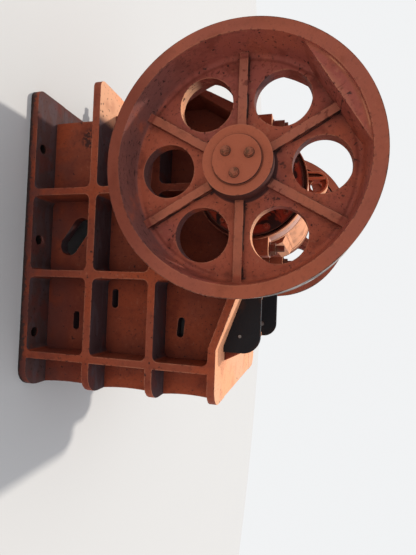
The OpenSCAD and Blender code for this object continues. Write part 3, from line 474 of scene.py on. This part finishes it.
class WheelPaint(CastPaint):
    """The wheels: dark lines along the spokes and the rim, a greasy hub, painted sunlight and shade in the
    holes, a bare tread.
    """

    def __init__(self, name, paint):
        super().__init__(name, paint.wheel, paint.wheel_faded)
        self.around_shaft()
        self.depth = self.math("ABSOLUTE", self.spot["Y"])
        self.front = self.between(self.math("ABSOLUTE", self.facing["Y"]), 0.6, 0.9)
        self.raised = self.both(self.front, self.between(self.depth, 0.745, 0.758))
        self.ragged = self.math("MULTIPLY_ADD", self.patch, 0.012, -0.006)
        self.broken = self.between(self.patch, 0.40, 0.52)
        # Metres around the shaft, along it and away from it.
        wound = {0: self.math("MULTIPLY", self.angle, 0.5), 1: self.arm["Y"], 2: self.radius}
        self.wound = self.node("CombineXYZ", wound).outputs[0]

    def faces(self, paint):
        """Lighter spokes and hub, with small dark stains."""
        self.lay(0.36, paint.worn, self.raised, self.within(self.radius, 0.430, 0.010))
        stains = self.both(self.between(self.flake, 0.55, 0.66), self.between(self.blotch, 0.47, 0.56))
        self.lay(0.55, paint.deep, stains, self.within(self.radius, Wheel.web_edge, 0.010))

    def rim_inside(self, paint):
        """Dust and short dark streaks on the rim's lower inside."""
        inside = self.both(self.between(self.away, -0.55, -0.85), self.beyond(self.radius, 0.410, 0.010))
        low = self.between(self.facing["Z"], 0.30, 0.85)
        self.lay(0.75, paint.rim_dust, inside, low, self.between(self.patch, 0.30, 0.50))
        streaks = self.noise(105.0, detail=6, warp=0.3, stretch=(0.42, 1.1, 1), place=self.wound)
        self.lay(0.55, paint.chip, inside, self.between(self.facing["Z"], 0.10, 0.65),
                 self.between(streaks, 0.575, 0.620), self.between(self.patch, 0.47, 0.57))

    def holes(self, paint):
        """Dust in the web's holes, painted sunlight in two of them, and painted shade on their upper walls.
        """
        wall = self.both(self.without(self.front), self.band(self.depth, 0.676, 0.740, 0.003))
        wall = self.both(wall, self.band(self.radius, 0.170, 0.435, 0.008))
        lit = self.between(self.facing["Z"], 0.25, 0.60)
        self.lay(0.90, paint.rim_dust, wall, lit)
        # Painted sunlight: bleached paint and pale dust on the lit walls of two holes.
        x, z = 0.268, 0.155
        sunny = [self.near_to((SHAFT.x + s * x, -0.709, SHAFT.z + s * z), 0.17, 0.9) for s in (1, -1)]
        sun = self.mix(self.between(self.patch, 0.40, 0.60), paint.sunlit_bleached, paint.sunlit_pale_dust)
        self.lay(0.95, sun, wall, lit, self.either(*sunny))
        # Painted shade: deep paint on the holes' walls that face down.
        self.lay(0.60, paint.deep, wall, self.between(self.facing["Z"], 0.10, -0.30))

    def web_dark_lines(self, paint):
        """Dark lines along the spokes' upper and lower sides, around the web and around the hub."""
        step = math.tau / Wheel.holes
        fold = self.math("WRAP", self.angle, -step / 2, step / 2)
        across = self.math("MULTIPLY", self.radius, self.math("SINE", fold))
        above = self.math("MULTIPLY", across, self.math("SIGN", self.arm["X"]))
        upper = self.math("SUBTRACT", above, self.ragged)
        lower = self.math("MULTIPLY", upper, -1.0)
        web = self.both(self.beyond(self.radius, 0.136, 0.004), self.within(self.radius, 0.445, 0.005))
        self.lay(0.95, paint.chip, web, self.band(upper, 0.0170, 0.0205, 0.0012),
                 self.between(self.patch, 0.38, 0.48))
        ends = self.either(self.between(self.radius, 0.185, 0.160), self.between(self.radius, 0.400, 0.425))
        self.lay(0.85, paint.chip, web, self.band(upper, 0.0170, 0.0300, 0.0030), ends,
                 self.between(self.flake, 0.46, 0.56))
        self.lay(0.50, paint.deep, web, self.band(lower, 0.0165, 0.0205, 0.0020), self.broken)
        ring = self.math("SUBTRACT", self.radius, self.ragged)
        floor = self.both(self.within(self.depth, 0.780, 0.010), self.beyond(self.depth, 0.736, 0.001))
        self.lay(0.50, paint.deep, floor, self.band(ring, 0.430, 0.440, 0.004),
                 self.between(self.blotch, 0.40, 0.52))
        self.lay(0.75, paint.chip, floor, self.within(ring, 0.143, 0.003), self.broken)

    def hub_side(self, paint):
        """Grime around the hub, and a painted shadow line around the end cap."""
        side = self.both(self.between(self.away, 0.5, 0.8), self.within(self.radius, 0.145, 0.005))
        self.lay(0.88, paint.hub_dirt, side)
        # Painted shadow: a dark ring just outside the end cap.
        self.lay(0.90, paint.chip, self.band(self.radius, Wheel.cap - 0.0002, Wheel.cap + 0.005, 0.0012),
                 self.beyond(self.depth, 0.832, 0.002), self.between(self.patch, 0.30, 0.44))

    def tread(self, paint, steel):
        """Bare grey steel around the wheel, with browner bands, rust and a dark line along its edge."""
        tread = self.both(self.between(self.away, 0.6, 0.9), self.beyond(self.radius, 0.450, 0.010))
        bands = self.noise(26.0, detail=5, stretch=(0.07, 1, 1), shift=(4, 1, 3), place=self.wound)
        self.lay(0.94, steel.tread, tread, self.between(self.grain, 0.22, 0.40))
        self.lay(0.36, steel.tread_band, tread, self.between(bands, 0.40, 0.66))
        self.lay(0.20, steel.rust, tread, self.between(self.patch, 0.54, 0.70))
        edge = self.band(self.radius, Wheel.outside - 0.0035, Wheel.outside + 0.0015, 0.0008)
        self.lay(0.70, paint.chip, edge, self.broken)

    def hub_face(self, paint):
        """The hub's own colour, and a painted shadow ring around each bolt's washer."""
        self.lay(0.45, paint.hub, self.front, self.within(self.radius, Wheel.hub, 0.005))
        face = -node_box("end_bolts_near")[1].y
        for x, z in bolt_places():
            gap = self.vector("DISTANCE", self.place, (x, -face, z), output="Value")
            # Painted shadow: a dark ring around the washer.
            self.lay(0.85, paint.chip, self.band(gap, 0.0176, 0.0204, 0.0008),
                     self.between(self.patch, 0.30, 0.45))

    def rim_face(self, paint):
        """The rim's own colour, darker below, with a painted highlight along its inner edge."""
        rim = self.both(self.front, self.beyond(self.radius, Wheel.rim, 0.005))
        down = self.math("DIVIDE", self.math("MULTIPLY", self.arm["Z"], -1.0), self.radius)
        self.lay(0.48, paint.rim, rim)
        self.lay(0.60, paint.deep, rim, self.between(down, 0.50, 0.90))
        # Painted highlight: a pale line along the rim's inner edge.
        self.lay(0.35, paint.sunlit_bleached, rim, self.band(self.radius, 0.4640, 0.4690, 0.0020),
                 self.between(self.patch, 0.40, 0.60))

    def smooth_faces(self):
        """1 on the spokes, the rim's face and the end cap, where little paint has flaked."""
        rim, cap = self.beyond(self.radius, Wheel.rim, 0.005), self.within(self.radius, 0.129, 0.003)
        return self.either(self.raised, self.both(self.front, self.either(rim, cap)))


def wheel_paint(name, paint, steel):
    look = WheelPaint(name, paint)
    look.weather(paint, stains=0.50, recess_dirt_and_shade=0.60)
    look.faces(paint)
    look.rim_inside(paint)
    look.holes(paint)
    look.web_dark_lines(paint)
    look.hub_side(paint)
    look.tread(paint, steel)
    look.hub_face(paint)
    look.rim_face(paint)
    rough, smooth = 0.85, 0.16
    look.flakes(paint, look.math("MULTIPLY_ADD", look.smooth_faces(), smooth - rough, rough))
    return look.coated()


def black_plate(name, paint, steel):
    """Black paint on a rolled plate, with a brown bloom of rust."""
    look = Finish(name, steel.guard, roughness=0.6, specular=0.22)
    bloom = look.noise(7.0, detail=6, warp=0.8)
    grain = look.noise(70.0, detail=4)
    scratch = look.noise(40.0, detail=3, stretch=(1, 1, 0.06))
    edge, recess_dirt_and_shade = look.corners(0.006)
    look.lay(0.30, steel.rust, look.between(bloom, 0.50, 0.72))
    look.lay(0.25, steel.turned, look.between(scratch, 0.66, 0.74))
    look.lay(edge, steel.rust, look.between(grain, 0.42, 0.60))
    # Grease and painted shade in the recesses.
    look.lay(0.50, steel.grease, recess_dirt_and_shade)
    return look.done((grain, 0.0006), (bloom, 0.002), rough=(bloom, 0.48, 0.80))


def rusty_steel(name, paint, steel):
    look = Finish(name, steel.rust, roughness=0.75, specular=0.3)
    bloom = look.noise(30.0, detail=6)
    grain = look.noise(160.0, detail=4)
    edge, recess_dirt_and_shade = look.corners(0.003)
    look.lay(look.between(bloom, 0.40, 0.62), paint.deep)
    look.lay(0.50, paint.worn, edge)
    # Grease and painted shade in the recesses.
    look.lay(0.70, steel.grease, recess_dirt_and_shade)
    return look.done((grain, 0.0006), (bloom, 0.0010), rough=(bloom, 0.60, 0.90))


def bare_steel(name, paint, steel, wear_plate=False):
    """Turned steel, or the cast manganese steel of the jaw plates."""
    base, metallic = (steel.manganese, 0.0) if wear_plate else (steel.turned, 0.85)
    look = Finish(name, base, roughness=0.45, metallic=metallic, specular=0.4)
    bloom = look.noise(9.0, detail=6)
    grain = look.noise(90.0, detail=4)
    edge, recess_dirt_and_shade = look.corners(0.004)
    look.lay(0.70, steel.rust, look.between(bloom, 0.46, 0.66))
    look.lay(0.70, steel.turned, edge)
    # Grease and painted shade in the recesses.
    look.lay(0.80, steel.grease, recess_dirt_and_shade)
    if wear_plate:
        # Painted shade: grease colour on the jaw plates wherever they are sheltered.
        look.lay(0.85, steel.grease, look.between(look.open_air(0.25), 0.55, 0.25))
    return look.done((grain, 0.0006), (bloom, 0.0020), rough=(bloom, 0.38, 0.74))


def wear_steel(name, paint, steel):
    return bare_steel(name, paint, steel, wear_plate=True)


def end_bolt(name, paint, steel):
    """Bolt heads on the end caps: brown, with orange left on the edges."""
    look = Finish(name, paint.bolt, roughness=0.7, specular=0.25)
    bloom = look.noise(60.0, detail=5)
    edge, recess_dirt_and_shade = look.corners(0.003)
    look.lay(look.between(bloom, 0.46, 0.66), steel.rust)
    look.lay(0.80, paint.worn, edge)
    # Dark paint and painted shade in the recesses.
    look.lay(0.90, paint.chip, recess_dirt_and_shade)
    return look.done((bloom, 0.0008))


def old_grease(name, paint, steel):
    look = Finish(name, steel.grease, roughness=0.4, specular=0.5)
    lump = look.noise(45.0, detail=5)
    look.lay(look.between(lump, 0.4, 0.7), steel.rust)
    return look.done((lump, 0.003), rough=(lump, 0.30, 0.65))


PAINTS = (frame_paint, barrel_paint, cover_paint, wheel_paint)
STEELS = (black_plate, wear_steel, bare_steel, rusty_steel, old_grease, end_bolt)
FINISHES = {make.__name__: make for make in PAINTS + STEELS}


def finish(name):
    """The material of that name, made when it is first asked for."""
    scene = bpy.context.scene
    made = bpy.data.materials.get("finish_" + name)
    return made or FINISHES[name](name, scene.crusher_paint, scene.crusher_steel)


def coat(node, name, rounding=0.0):
    """Puts a finish on every slot of a node, and rounds its edges first."""
    if rounding:
        round_edges(node, rounding)
    for slot in NODES[node].material_slots:
        slot.material = finish(name)


def round_edges(node, width):
    """Rounds a node's sharp edges and fills its sharp corners, as a casting has them."""
    obj = NODES[node]
    weld = obj.modifiers.new("weld", "WELD")
    weld.merge_threshold = 0.00002
    flat = obj.modifiers.new("flat_faces", "DECIMATE")
    flat.decimate_type = "DISSOLVE"
    flat.angle_limit = math.radians(0.6)
    bevel = obj.modifiers.new("rounding", "BEVEL")
    bevel.width = width
    bevel.segments = 2
    bevel.limit_method = "ANGLE"
    bevel.angle_limit = math.radians(30)
    bevel.miter_outer = "MITER_ARC"
    bevel.use_clamp_overlap = True
    normals = obj.modifiers.new("normals", "WEIGHTED_NORMAL")
    normals.keep_sharp = True
    obj.data.shade_smooth()


def built(name, build):
    """An object whose mesh is built in the frame's own coordinates."""
    mesh = bpy.data.meshes.new(name)
    bm = bmesh.new()
    build(bm)
    bmesh.ops.recalc_face_normals(bm, faces=bm.faces)
    bm.to_mesh(mesh)
    bm.free()
    obj = bpy.data.objects.new(name, mesh)
    bpy.context.scene.collection.objects.link(obj)
    return obj


def new_piece(name, build, body, finish_name, slot, rounding=0.0008):
    """A piece that the frame lacks, on one of its bodies."""
    obj = built(name, build)
    obj.data.materials.append(finish(finish_name))
    obj.data.shade_smooth()
    edges = obj.modifiers.new("rounding", "BEVEL")
    edges.width = rounding
    edges.segments = 2
    edges.limit_method = "ANGLE"
    edges.angle_limit = math.radians(30)
    normals = obj.modifiers.new("normals", "WEIGHTED_NORMAL")
    normals.keep_sharp = True
    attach(obj, body)
    return obj


def turned(bm, foot, axis, profile, sides=24, turn=0.0):
    """A closed body of revolution: profile is (radius, height above foot) from foot to top."""
    axis = Vector(axis).normalized()
    place = Matrix.Translation(foot) @ axis.to_track_quat("Z", "X").to_matrix().to_4x4()
    rings = []
    for radius, height in profile:
        ring = []
        for i in range(sides):
            a = turn + math.tau * i / sides
            ring.append(bm.verts.new(place @ Vector((radius * math.cos(a), radius * math.sin(a), height))))
        rings.append(ring)
    for low, high in zip(rings, rings[1:]):
        for i in range(sides):
            bm.faces.new((low[i], low[(i + 1) % sides], high[(i + 1) % sides], high[i]))
    bm.faces.new(rings[0])
    bm.faces.new(rings[-1])


def span(sign, a, b):
    """Two widths on one side of the machine, the lower first."""
    return sorted((sign * a, sign * b))


def circle(x, z, radius, sides=48):
    """Points (x, z) around a centre."""
    turns = [math.tau * i / sides for i in range(sides)]
    return [(x + radius * math.cos(a), z + radius * math.sin(a)) for a in turns]


def pierced_plate(bm, outline, holes, low, high):
    """A plate from y = low to high, with an outline and holes given as points (x, z)."""
    loops = [[bm.verts.new((x, low, z)) for x, z in points] for points in (outline, *holes)]
    edges = [bm.edges.new(pair) for loop in loops for pair in zip(loop, loop[1:] + loop[:1])]
    filled = bmesh.ops.triangle_fill(bm, edges=edges, use_beauty=True)
    faces = [f for f in filled["geom"] if isinstance(f, bmesh.types.BMFace)]
    grown = bmesh.ops.extrude_face_region(bm, geom=faces, use_keep_orig=True)
    moved = [v for v in grown["geom"] if isinstance(v, bmesh.types.BMVert)]
    bmesh.ops.translate(bm, verts=moved, vec=(0, high - low, 0))


def ring(bm, inner, outer, low, high, sides=96):
    """A ring around the shaft, from y = low to high."""
    corners = [(inner, low), (outer, low), (outer, high), (inner, high)]
    loops = [[bm.verts.new((x, y, z)) for x, z in circle(SHAFT.x, SHAFT.z, r, sides)] for r, y in corners]
    for a, b in zip(loops, loops[1:] + loops[:1]):
        for i in range(sides):
            bm.faces.new((a[i], a[(i + 1) % sides], b[(i + 1) % sides], b[i]))


def block(bm, low, high, place=Matrix()):
    """A box between two corners."""
    low, high = Vector(low), Vector(high)
    size = Matrix.Diagonal((*(high - low), 1))
    bmesh.ops.create_cube(bm, size=1, matrix=place @ Matrix.Translation((low + high) / 2) @ size)


def carve(node, name, build):
    """Cuts a shape, which isn't shown itself, out of a node."""
    tool = built(name, build)
    tool.hide_render = True
    cutter = NODES[node].modifiers.new(name, "BOOLEAN")
    cutter.operation = "DIFFERENCE"
    cutter.solver = "EXACT"
    cutter.object = tool


def hex_head(bm, foot, axis, across, height, turn=0.0):
    """A bolt head or nut with chamfered corners."""
    corner = across / math.sqrt(3)
    turned(bm, foot, axis, [(corner, 0), (corner, height * 0.86), (corner * 0.90, height)], 6, turn)


def washer(bm, foot, axis, across, height):
    turned(bm, foot, axis, [(across / 2, 0), (across / 2, height)], 28)


class StageOperator(bpy.types.Operator):
    """Lays the floor and sets the lights and the camera"""

    bl_idname = "crusher.stage"
    bl_label = "Stage"

    def execute(self, context):
        scene = context.scene
        stage = scene.crusher_stage
        scene.view_settings.view_transform = "Standard"
        self.floor(stage)
        self.surroundings(scene, stage)
        self.key_lamp(scene, stage)
        self.camera(scene)
        return {"FINISHED"}

    def floor(self, stage):
        disc = {"cap_ends": True, "segments": 64, "radius": stage.floor_reach}
        floor = built("floor", lambda bm: bmesh.ops.create_circle(bm, **disc))
        look = Finish("floor", stage.floor, roughness=0.9, specular=0.1)
        look.lay(0.12, stage.cloud, look.noise(1.1, detail=3))
        floor.data.materials.append(look.done())

    def surroundings(self, scene, stage):
        world = bpy.data.worlds.new("surroundings")
        world.use_nodes = True
        tree = world.node_tree
        light = tree.nodes["Background"]
        light.inputs["Color"].default_value = stage.sky
        light.inputs["Strength"].default_value = stage.fill
        seen = tree.nodes.new("ShaderNodeBackground")
        seen.inputs["Color"].default_value = stage.backdrop
        seen.inputs["Strength"].default_value = 0.95
        path = tree.nodes.new("ShaderNodeLightPath")
        choose = tree.nodes.new("ShaderNodeMixShader")
        tree.links.new(path.outputs["Is Camera Ray"], choose.inputs[0])
        tree.links.new(light.outputs[0], choose.inputs[1])
        tree.links.new(seen.outputs[0], choose.inputs[2])
        tree.links.new(choose.outputs[0], tree.nodes["World Output"].inputs["Surface"])
        scene.world = world

    def key_lamp(self, scene, stage):
        lamp = bpy.data.lights.new("key", "SUN")
        lamp.energy = stage.key
        lamp.angle = stage.key_spread
        lamp.color = (1.0, 0.95, 0.88)
        key = bpy.data.objects.new("key", lamp)
        towards = Vector((-0.49, 0.65, 1.0))
        key.rotation_euler = towards.to_track_quat("Z", "Y").to_euler()
        key.location = towards * 3
        scene.collection.objects.link(key)

    def camera(self, scene):
        """Stands at the near side, turned on its side so that the machine's top points to the right."""
        place = Vector((0.337, -2.242, 1.437))
        yaw, pitch, roll = -0.03253, 0.26539, 0.02726
        long_side = 0.036
        focal_share = 387 / 555
        ahead = Vector((math.sin(yaw) * math.cos(pitch), math.cos(yaw) * math.cos(pitch), -math.sin(pitch)))
        level = Vector((math.cos(yaw), -math.sin(yaw), 0))
        right = math.cos(roll) * level + math.sin(roll) * level.cross(ahead)
        up = right.cross(ahead)
        lens = bpy.data.cameras.new("camera")
        lens.sensor_width = long_side * 1000
        lens.lens = focal_share * long_side * 1000
        camera = bpy.data.objects.new("camera", lens)
        turn = Matrix((up, -right, -ahead)).transposed()
        camera.matrix_world = Matrix.Translation(place) @ turn.to_4x4()
        scene.collection.objects.link(camera)
        scene.camera = camera


class FrameOperator(bpy.types.Operator):
    """Finishes the side frames, the front and rear walls and the other frame castings"""

    bl_idname = "crusher.frame"
    bl_label = "Frame"

    castings = [
        "side_frame_near", "side_frame_far", "front_wall", "rear_wall", "fixed_jaw_ledge",
        "guard_bracket_near", "guard_bracket_far", "toggle_beam",
    ]

    # Widths from the machine's middle, heights, and places (along the machine from the shaft, height).
    wall = (0.3650, 0.4223)
    outer_face = 0.5795
    shelf_top, rib, slant_foot = 0.404, (0.696, 0.732), 0.960
    knee, deck = (-0.443, 0.905), (-0.306, 1.150)
    pocket = (-0.470, -0.345)

    def execute(self, context):
        rounding = context.scene.crusher_edges.casting
        for side, sign in SIDES.items():
            carve("side_frame_" + side, "rear_pocket_" + side, lambda bm: self.rear_pocket(bm, sign))
            flange = ("rear_flange_" + side, lambda bm: self.rear_flange(bm, sign))
            new_piece(*flange, "root", "frame_paint", "frame_paint", rounding)
        for node in self.castings:
            coat(node, "frame_paint", rounding)
        return {"FINISHED"}

    def rear_pocket(self, bm, sign):
        """Opens the rear pockets to the back, and takes the flange's knee away from the upper one."""
        rear, front = (SHAFT.x + x for x in self.pocket)
        inner, outer = span(sign, self.wall[1], self.outer_face + 0.020)
        for low, high in ((self.shelf_top, self.rib[0]), (self.rib[1], self.slant_foot)):
            block(bm, (rear, inner, low), (front, outer, high))

    def rear_flange(self, bm, sign):
        """The flange from the bearing deck down a slant to its knee, and on to the upper rib."""
        thick = bpy.context.scene.crusher_forms.flange
        knee_x, knee_z = self.knee
        deck_x, deck_z = self.deck
        outline = [
            self.deck, self.knee, (knee_x, self.rib[0]),
            (knee_x + thick, self.rib[0]), (knee_x + thick, knee_z),
            (deck_x + thick, deck_z - thick), (deck_x + thick, deck_z - 0.004),
        ]
        ends = span(sign, self.wall[0], self.outer_face)
        pierced_plate(bm, [(SHAFT.x + x, z) for x, z in outline], [], *ends)


class WheelsOperator(bpy.types.Operator):
    """Finishes the flywheel, the drive pulley, their end caps and bolts"""

    bl_idname = "crusher.wheels"
    bl_label = "Wheels"

    def execute(self, context):
        edges = context.scene.crusher_edges
        for node in ("flywheel", "drive_pulley", "end_cap_near", "end_cap_far"):
            coat(node, "wheel_paint", edges.wheel)
        for side, sign in SIDES.items():
            back = ("web_back_" + side, lambda bm: self.web_back(bm, sign))
            new_piece(*back, "rotor", "wheel_paint", "wheel_paint", edges.wheel)
            coat("end_bolts_" + side, "end_bolt", edges.plate)
            washers = ("end_washers_" + side, lambda bm: self.washers(bm, side, sign))
            new_piece(*washers, "rotor", "end_bolt", "wheel_paint")
        return {"FINISHED"}

    def web_back(self, bm, sign):
        """The rest of the web behind the node's own, with its holes, back spokes and the rim's thick back."""
        forms = bpy.context.scene.crusher_forms
        back = Wheel.web_front - forms.web
        hub, rim, spoke_end = 0.130, 0.458, 0.431
        centres = circle(SHAFT.x, SHAFT.z, Wheel.hole_pitch, 2 * Wheel.holes)[1::2]
        holes = [circle(x, z, Wheel.hole) for x, z in centres] + [circle(SHAFT.x, SHAFT.z, hub)]
        outline = circle(SHAFT.x, SHAFT.z, rim, 96)
        pierced_plate(bm, outline, holes, *span(sign, back, Wheel.web_back))
        rim_ends = span(sign, Wheel.rim_end, back + 0.001)
        ring(bm, Wheel.outside - forms.rim_back, rim + 0.002, *rim_ends)
        low, high = span(sign, back + 0.001, back - Wheel.spoke_rise)
        for i in range(Wheel.holes):
            turn = Matrix.Rotation(math.tau * i / Wheel.holes, 4, "Y")
            place = Matrix.Translation((SHAFT.x, 0, SHAFT.z)) @ turn
            block(bm, (hub, low, -Wheel.spoke_half), (spoke_end, high, Wheel.spoke_half), place)

    def washers(self, bm, side, sign):
        """A washer and a proud bolt end on each of the end cap's three bolts."""
        low, high = node_box("end_bolts_" + side)
        face = high.y if sign < 0 else low.y
        across = bpy.context.scene.crusher_bolts.end_washer
        for x, z in bolt_places():
            foot = Vector((x, face, z))
            washer(bm, foot, (0, sign, 0), across, 0.0045)
            head = foot + Vector((0, sign * 0.016, 0))
            turned(bm, head, (0, sign, 0), [(0.0125, -0.001), (0.0115, 0.0035), (0.006, 0.006)], 20)


class BearingsOperator(bpy.types.Operator):
    """Finishes the bearing caps, covers, rings and cap studs"""

    bl_idname = "crusher.bearings"
    bl_label = "Bearings"

    def execute(self, context):
        edges = context.scene.crusher_edges
        for side, sign in SIDES.items():
            coat("bearing_cap_" + side, "barrel_paint", edges.casting)
            coat("bearing_cover_" + side, "cover_paint", edges.plate)
            coat("bearing_" + side, "old_grease")
            coat("cap_studs_" + side, "rusty_steel", edges.plate)
            bolts = ("cover_bolts_" + side, lambda bm: self.cover_bolts(bm, side, sign))
            new_piece(*bolts, "root", "cover_paint", "frame_paint")
            studs = ("small_studs_" + side, lambda bm: self.small_studs(bm, sign))
            new_piece(*studs, "root", "rusty_steel", "rusty_steel")
        return {"FINISHED"}

    def cover_bolts(self, bm, side, sign):
        """Bolt heads on washers, in a circle around the cover."""
        bolts = bpy.context.scene.crusher_bolts
        low, high = node_box("bearing_cover_" + side)
        face = low.y if sign < 0 else high.y
        for i in range(bolts.cover_bolts):
            a = math.tau * (i + 0.73) / bolts.cover_bolts
            arm = bolts.cover_pitch * Vector((math.cos(a), 0, math.sin(a)))
            foot = Vector((SHAFT.x, face - sign * 0.0005, SHAFT.z)) + arm
            washer(bm, foot, (0, sign, 0), bolts.cover_washer, 0.004)
            hex_head(bm, foot + Vector((0, sign * 0.0035, 0)), (0, sign, 0), bolts.cover_head, 0.011, 0.7 * i)

    def small_studs(self, bm, sign):
        """A thinner stud with its nut at the outer end of each lug."""
        bolts = bpy.context.scene.crusher_bolts
        out, across, top = 0.304, 0.397, 0.0855
        for end in (-1, 1):
            foot = Vector((SHAFT.x + end * out, sign * across, SHAFT.z + top))
            washer(bm, foot, (0, 0, 1), bolts.small_nut + 0.004, 0.003)
            hex_head(bm, foot + Vector((0, 0, 0.0025)), (0, 0, 1), bolts.small_nut, 0.016, 0.4)
            stud = bolts.small_stud / 2
            turned(bm, foot, (0, 0, 1), [(stud, 0), (stud, 0.031), (stud * 0.75, 0.034)], 20)


class JawsOperator(bpy.types.Operator):
    """Finishes the swing jaw, its lifting lug, the jaw plates, the wedge and the cheek plates"""

    bl_idname = "crusher.jaws"
    bl_label = "Jaws"

    def execute(self, context):
        edges = context.scene.crusher_edges
        carve("swing_jaw", "jaw_head", self.head)
        coat("swing_jaw", "barrel_paint", edges.casting)
        lug = new_piece("lifting_arch", self.lug, "root", "barrel_paint", "frame_paint", edges.plate)
        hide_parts("lifting_lug")
        cheeks = ("cheek_plate_near", "cheek_plate_far")
        for node in ("fixed_jaw_plate", "swing_jaw_plate", "jaw_wedge", *cheeks):
            coat(node, "wear_steel", edges.plate)
        return {"FINISHED"}

    def head(self, bm):
        """Takes the sharp corner off the swing jaw's head."""
        half_width = 0.3003
        line = [
            (0.2015, 1.3075), (0.2063, 1.2999), (0.2397, 1.2852),
            (0.2630, 1.2320), (0.300, 1.2320), (0.300, 1.330),
        ]
        pierced_plate(bm, [(SHAFT.x + x, z) for x, z in line], [], -half_width, half_width)

    def lug(self, bm):
        """An arch on the barrel, a little behind its top, with a thin web that has an eye and a rib."""
        forms = bpy.context.scene.crusher_forms
        eye_x, eye_z = SHAFT.x - 0.1224, SHAFT.z + 0.289
        foot = SHAFT.z + 0.153
        half = forms.lug_width / 2

        def outline(margin):
            r = forms.lug_radius - margin
            spread = 1.18 * forms.lug_radius - margin
            over = circle(eye_x, eye_z, r)[:25]
            return [(eye_x + spread, foot), *over, (eye_x - spread, foot)]

        pierced_plate(bm, outline(0) + outline(forms.lug_arch)[::-1], [], -half, half)
        eye = circle(eye_x + 0.008, eye_z, forms.lug_eye / 2, 32)
        pierced_plate(bm, outline(forms.lug_arch / 2), [eye], -forms.lug_web / 2, forms.lug_web / 2)
        block(bm, (eye_x - 0.035, -half, foot + 0.040), (eye_x - 0.019, half, eye_z + 0.046))


class GuardsOperator(bpy.types.Operator):
    """Finishes the guard plates"""

    bl_idname = "crusher.guards"
    bl_label = "Guards"

    def execute(self, context):
        for side, sign in SIDES.items():
            coat("guard_plate_" + side, "black_plate", context.scene.crusher_edges.plate)
            bolt = ("guard_bolt_" + side, lambda bm: self.bolt(bm, side, sign))
            new_piece(*bolt, "root", "bare_steel", "black_plate")
        return {"FINISHED"}

    def bolt(self, bm, side, sign):
        """A bolt through the guard plate's hole, with a head outside and a nut inside."""
        low, high = node_box("guard_plate_" + side)
        across = bpy.context.scene.crusher_bolts.guard_head
        hole = Vector((high.x - 0.080, 0, (1.031 + high.z) / 2 - 0.009))
        outside = Vector((hole.x, low.y if sign < 0 else high.y, hole.z))
        inside = Vector((hole.x, high.y if sign < 0 else low.y, hole.z))
        turned(bm, inside, (0, sign, 0), [(0.0082, -0.012), (0.0082, abs(outside.y - inside.y) + 0.001)], 20)
        hex_head(bm, outside, (0, sign, 0), across * 0.62, 0.005, 0.3)
        washer(bm, inside, (0, -sign, 0), across * 1.3, 0.003)
        hex_head(bm, inside + Vector((0, -sign * 0.003, 0)), (0, -sign, 0), across, 0.012, 0.3)


class ToggleOperator(bpy.types.Operator):
    """Finishes the toggle, its seats, the shims and the tension rod with its spring"""

    bl_idname = "crusher.toggle"
    bl_label = "Toggle and tension rod"

    def execute(self, context):
        coat("toggle_plate", "frame_paint")
        for node in ("toggle_seat_front", "toggle_seat_rear"):
            coat(node, "wear_steel")
        for node in ("adjusting_shims", "tension_rod", "spring_seat", "tension_nuts", "eccentric_shaft"):
            coat(node, "bare_steel", context.scene.crusher_edges.plate)
        weld = NODES["tension_spring"].modifiers.new("weld", "WELD")
        weld.merge_threshold = 0.00002
        NODES["tension_spring"].data.shade_smooth()
        coat("tension_spring", "bare_steel")
        return {"FINISHED"}


class CRUSHER_PT_panel(bpy.types.Panel):
    """Lists the steps that finish the crusher"""

    bl_idname = "CRUSHER_PT_panel"
    bl_label = "Jaw crusher"
    bl_space_type = "VIEW_3D"
    bl_region_type = "UI"
    bl_category = "Crusher"

    def draw(self, context):
        for step in STEPS:
            self.layout.operator(step.bl_idname)


GROUPS = {
    "crusher_paint": CrusherPaint,
    "crusher_steel": CrusherSteel,
    "crusher_edges": CrusherEdges,
    "crusher_forms": CrusherForms,
    "crusher_bolts": CrusherBolts,
    "crusher_stage": CrusherStage,
}
STEPS = [
    StageOperator, FrameOperator, WheelsOperator, BearingsOperator,
    JawsOperator, GuardsOperator, ToggleOperator,
]


def register():
    for name, group in GROUPS.items():
        bpy.utils.register_class(group)
        setattr(bpy.types.Scene, name, bpy.props.PointerProperty(type=group))
    for step in STEPS:
        bpy.utils.register_class(step)
    bpy.utils.register_class(CRUSHER_PT_panel)


def unregister():
    bpy.utils.unregister_class(CRUSHER_PT_panel)
    for step in reversed(STEPS):
        bpy.utils.unregister_class(step)
    for name, group in reversed(GROUPS.items()):
        delattr(bpy.types.Scene, name)
        bpy.utils.unregister_class(group)


def main():
    register()
    bpy.ops.crusher.stage()
    bpy.ops.crusher.frame()
    bpy.ops.crusher.wheels()
    bpy.ops.crusher.bearings()
    bpy.ops.crusher.jaws()
    bpy.ops.crusher.guards()
    bpy.ops.crusher.toggle()


if __name__ == "__main__":
    main()
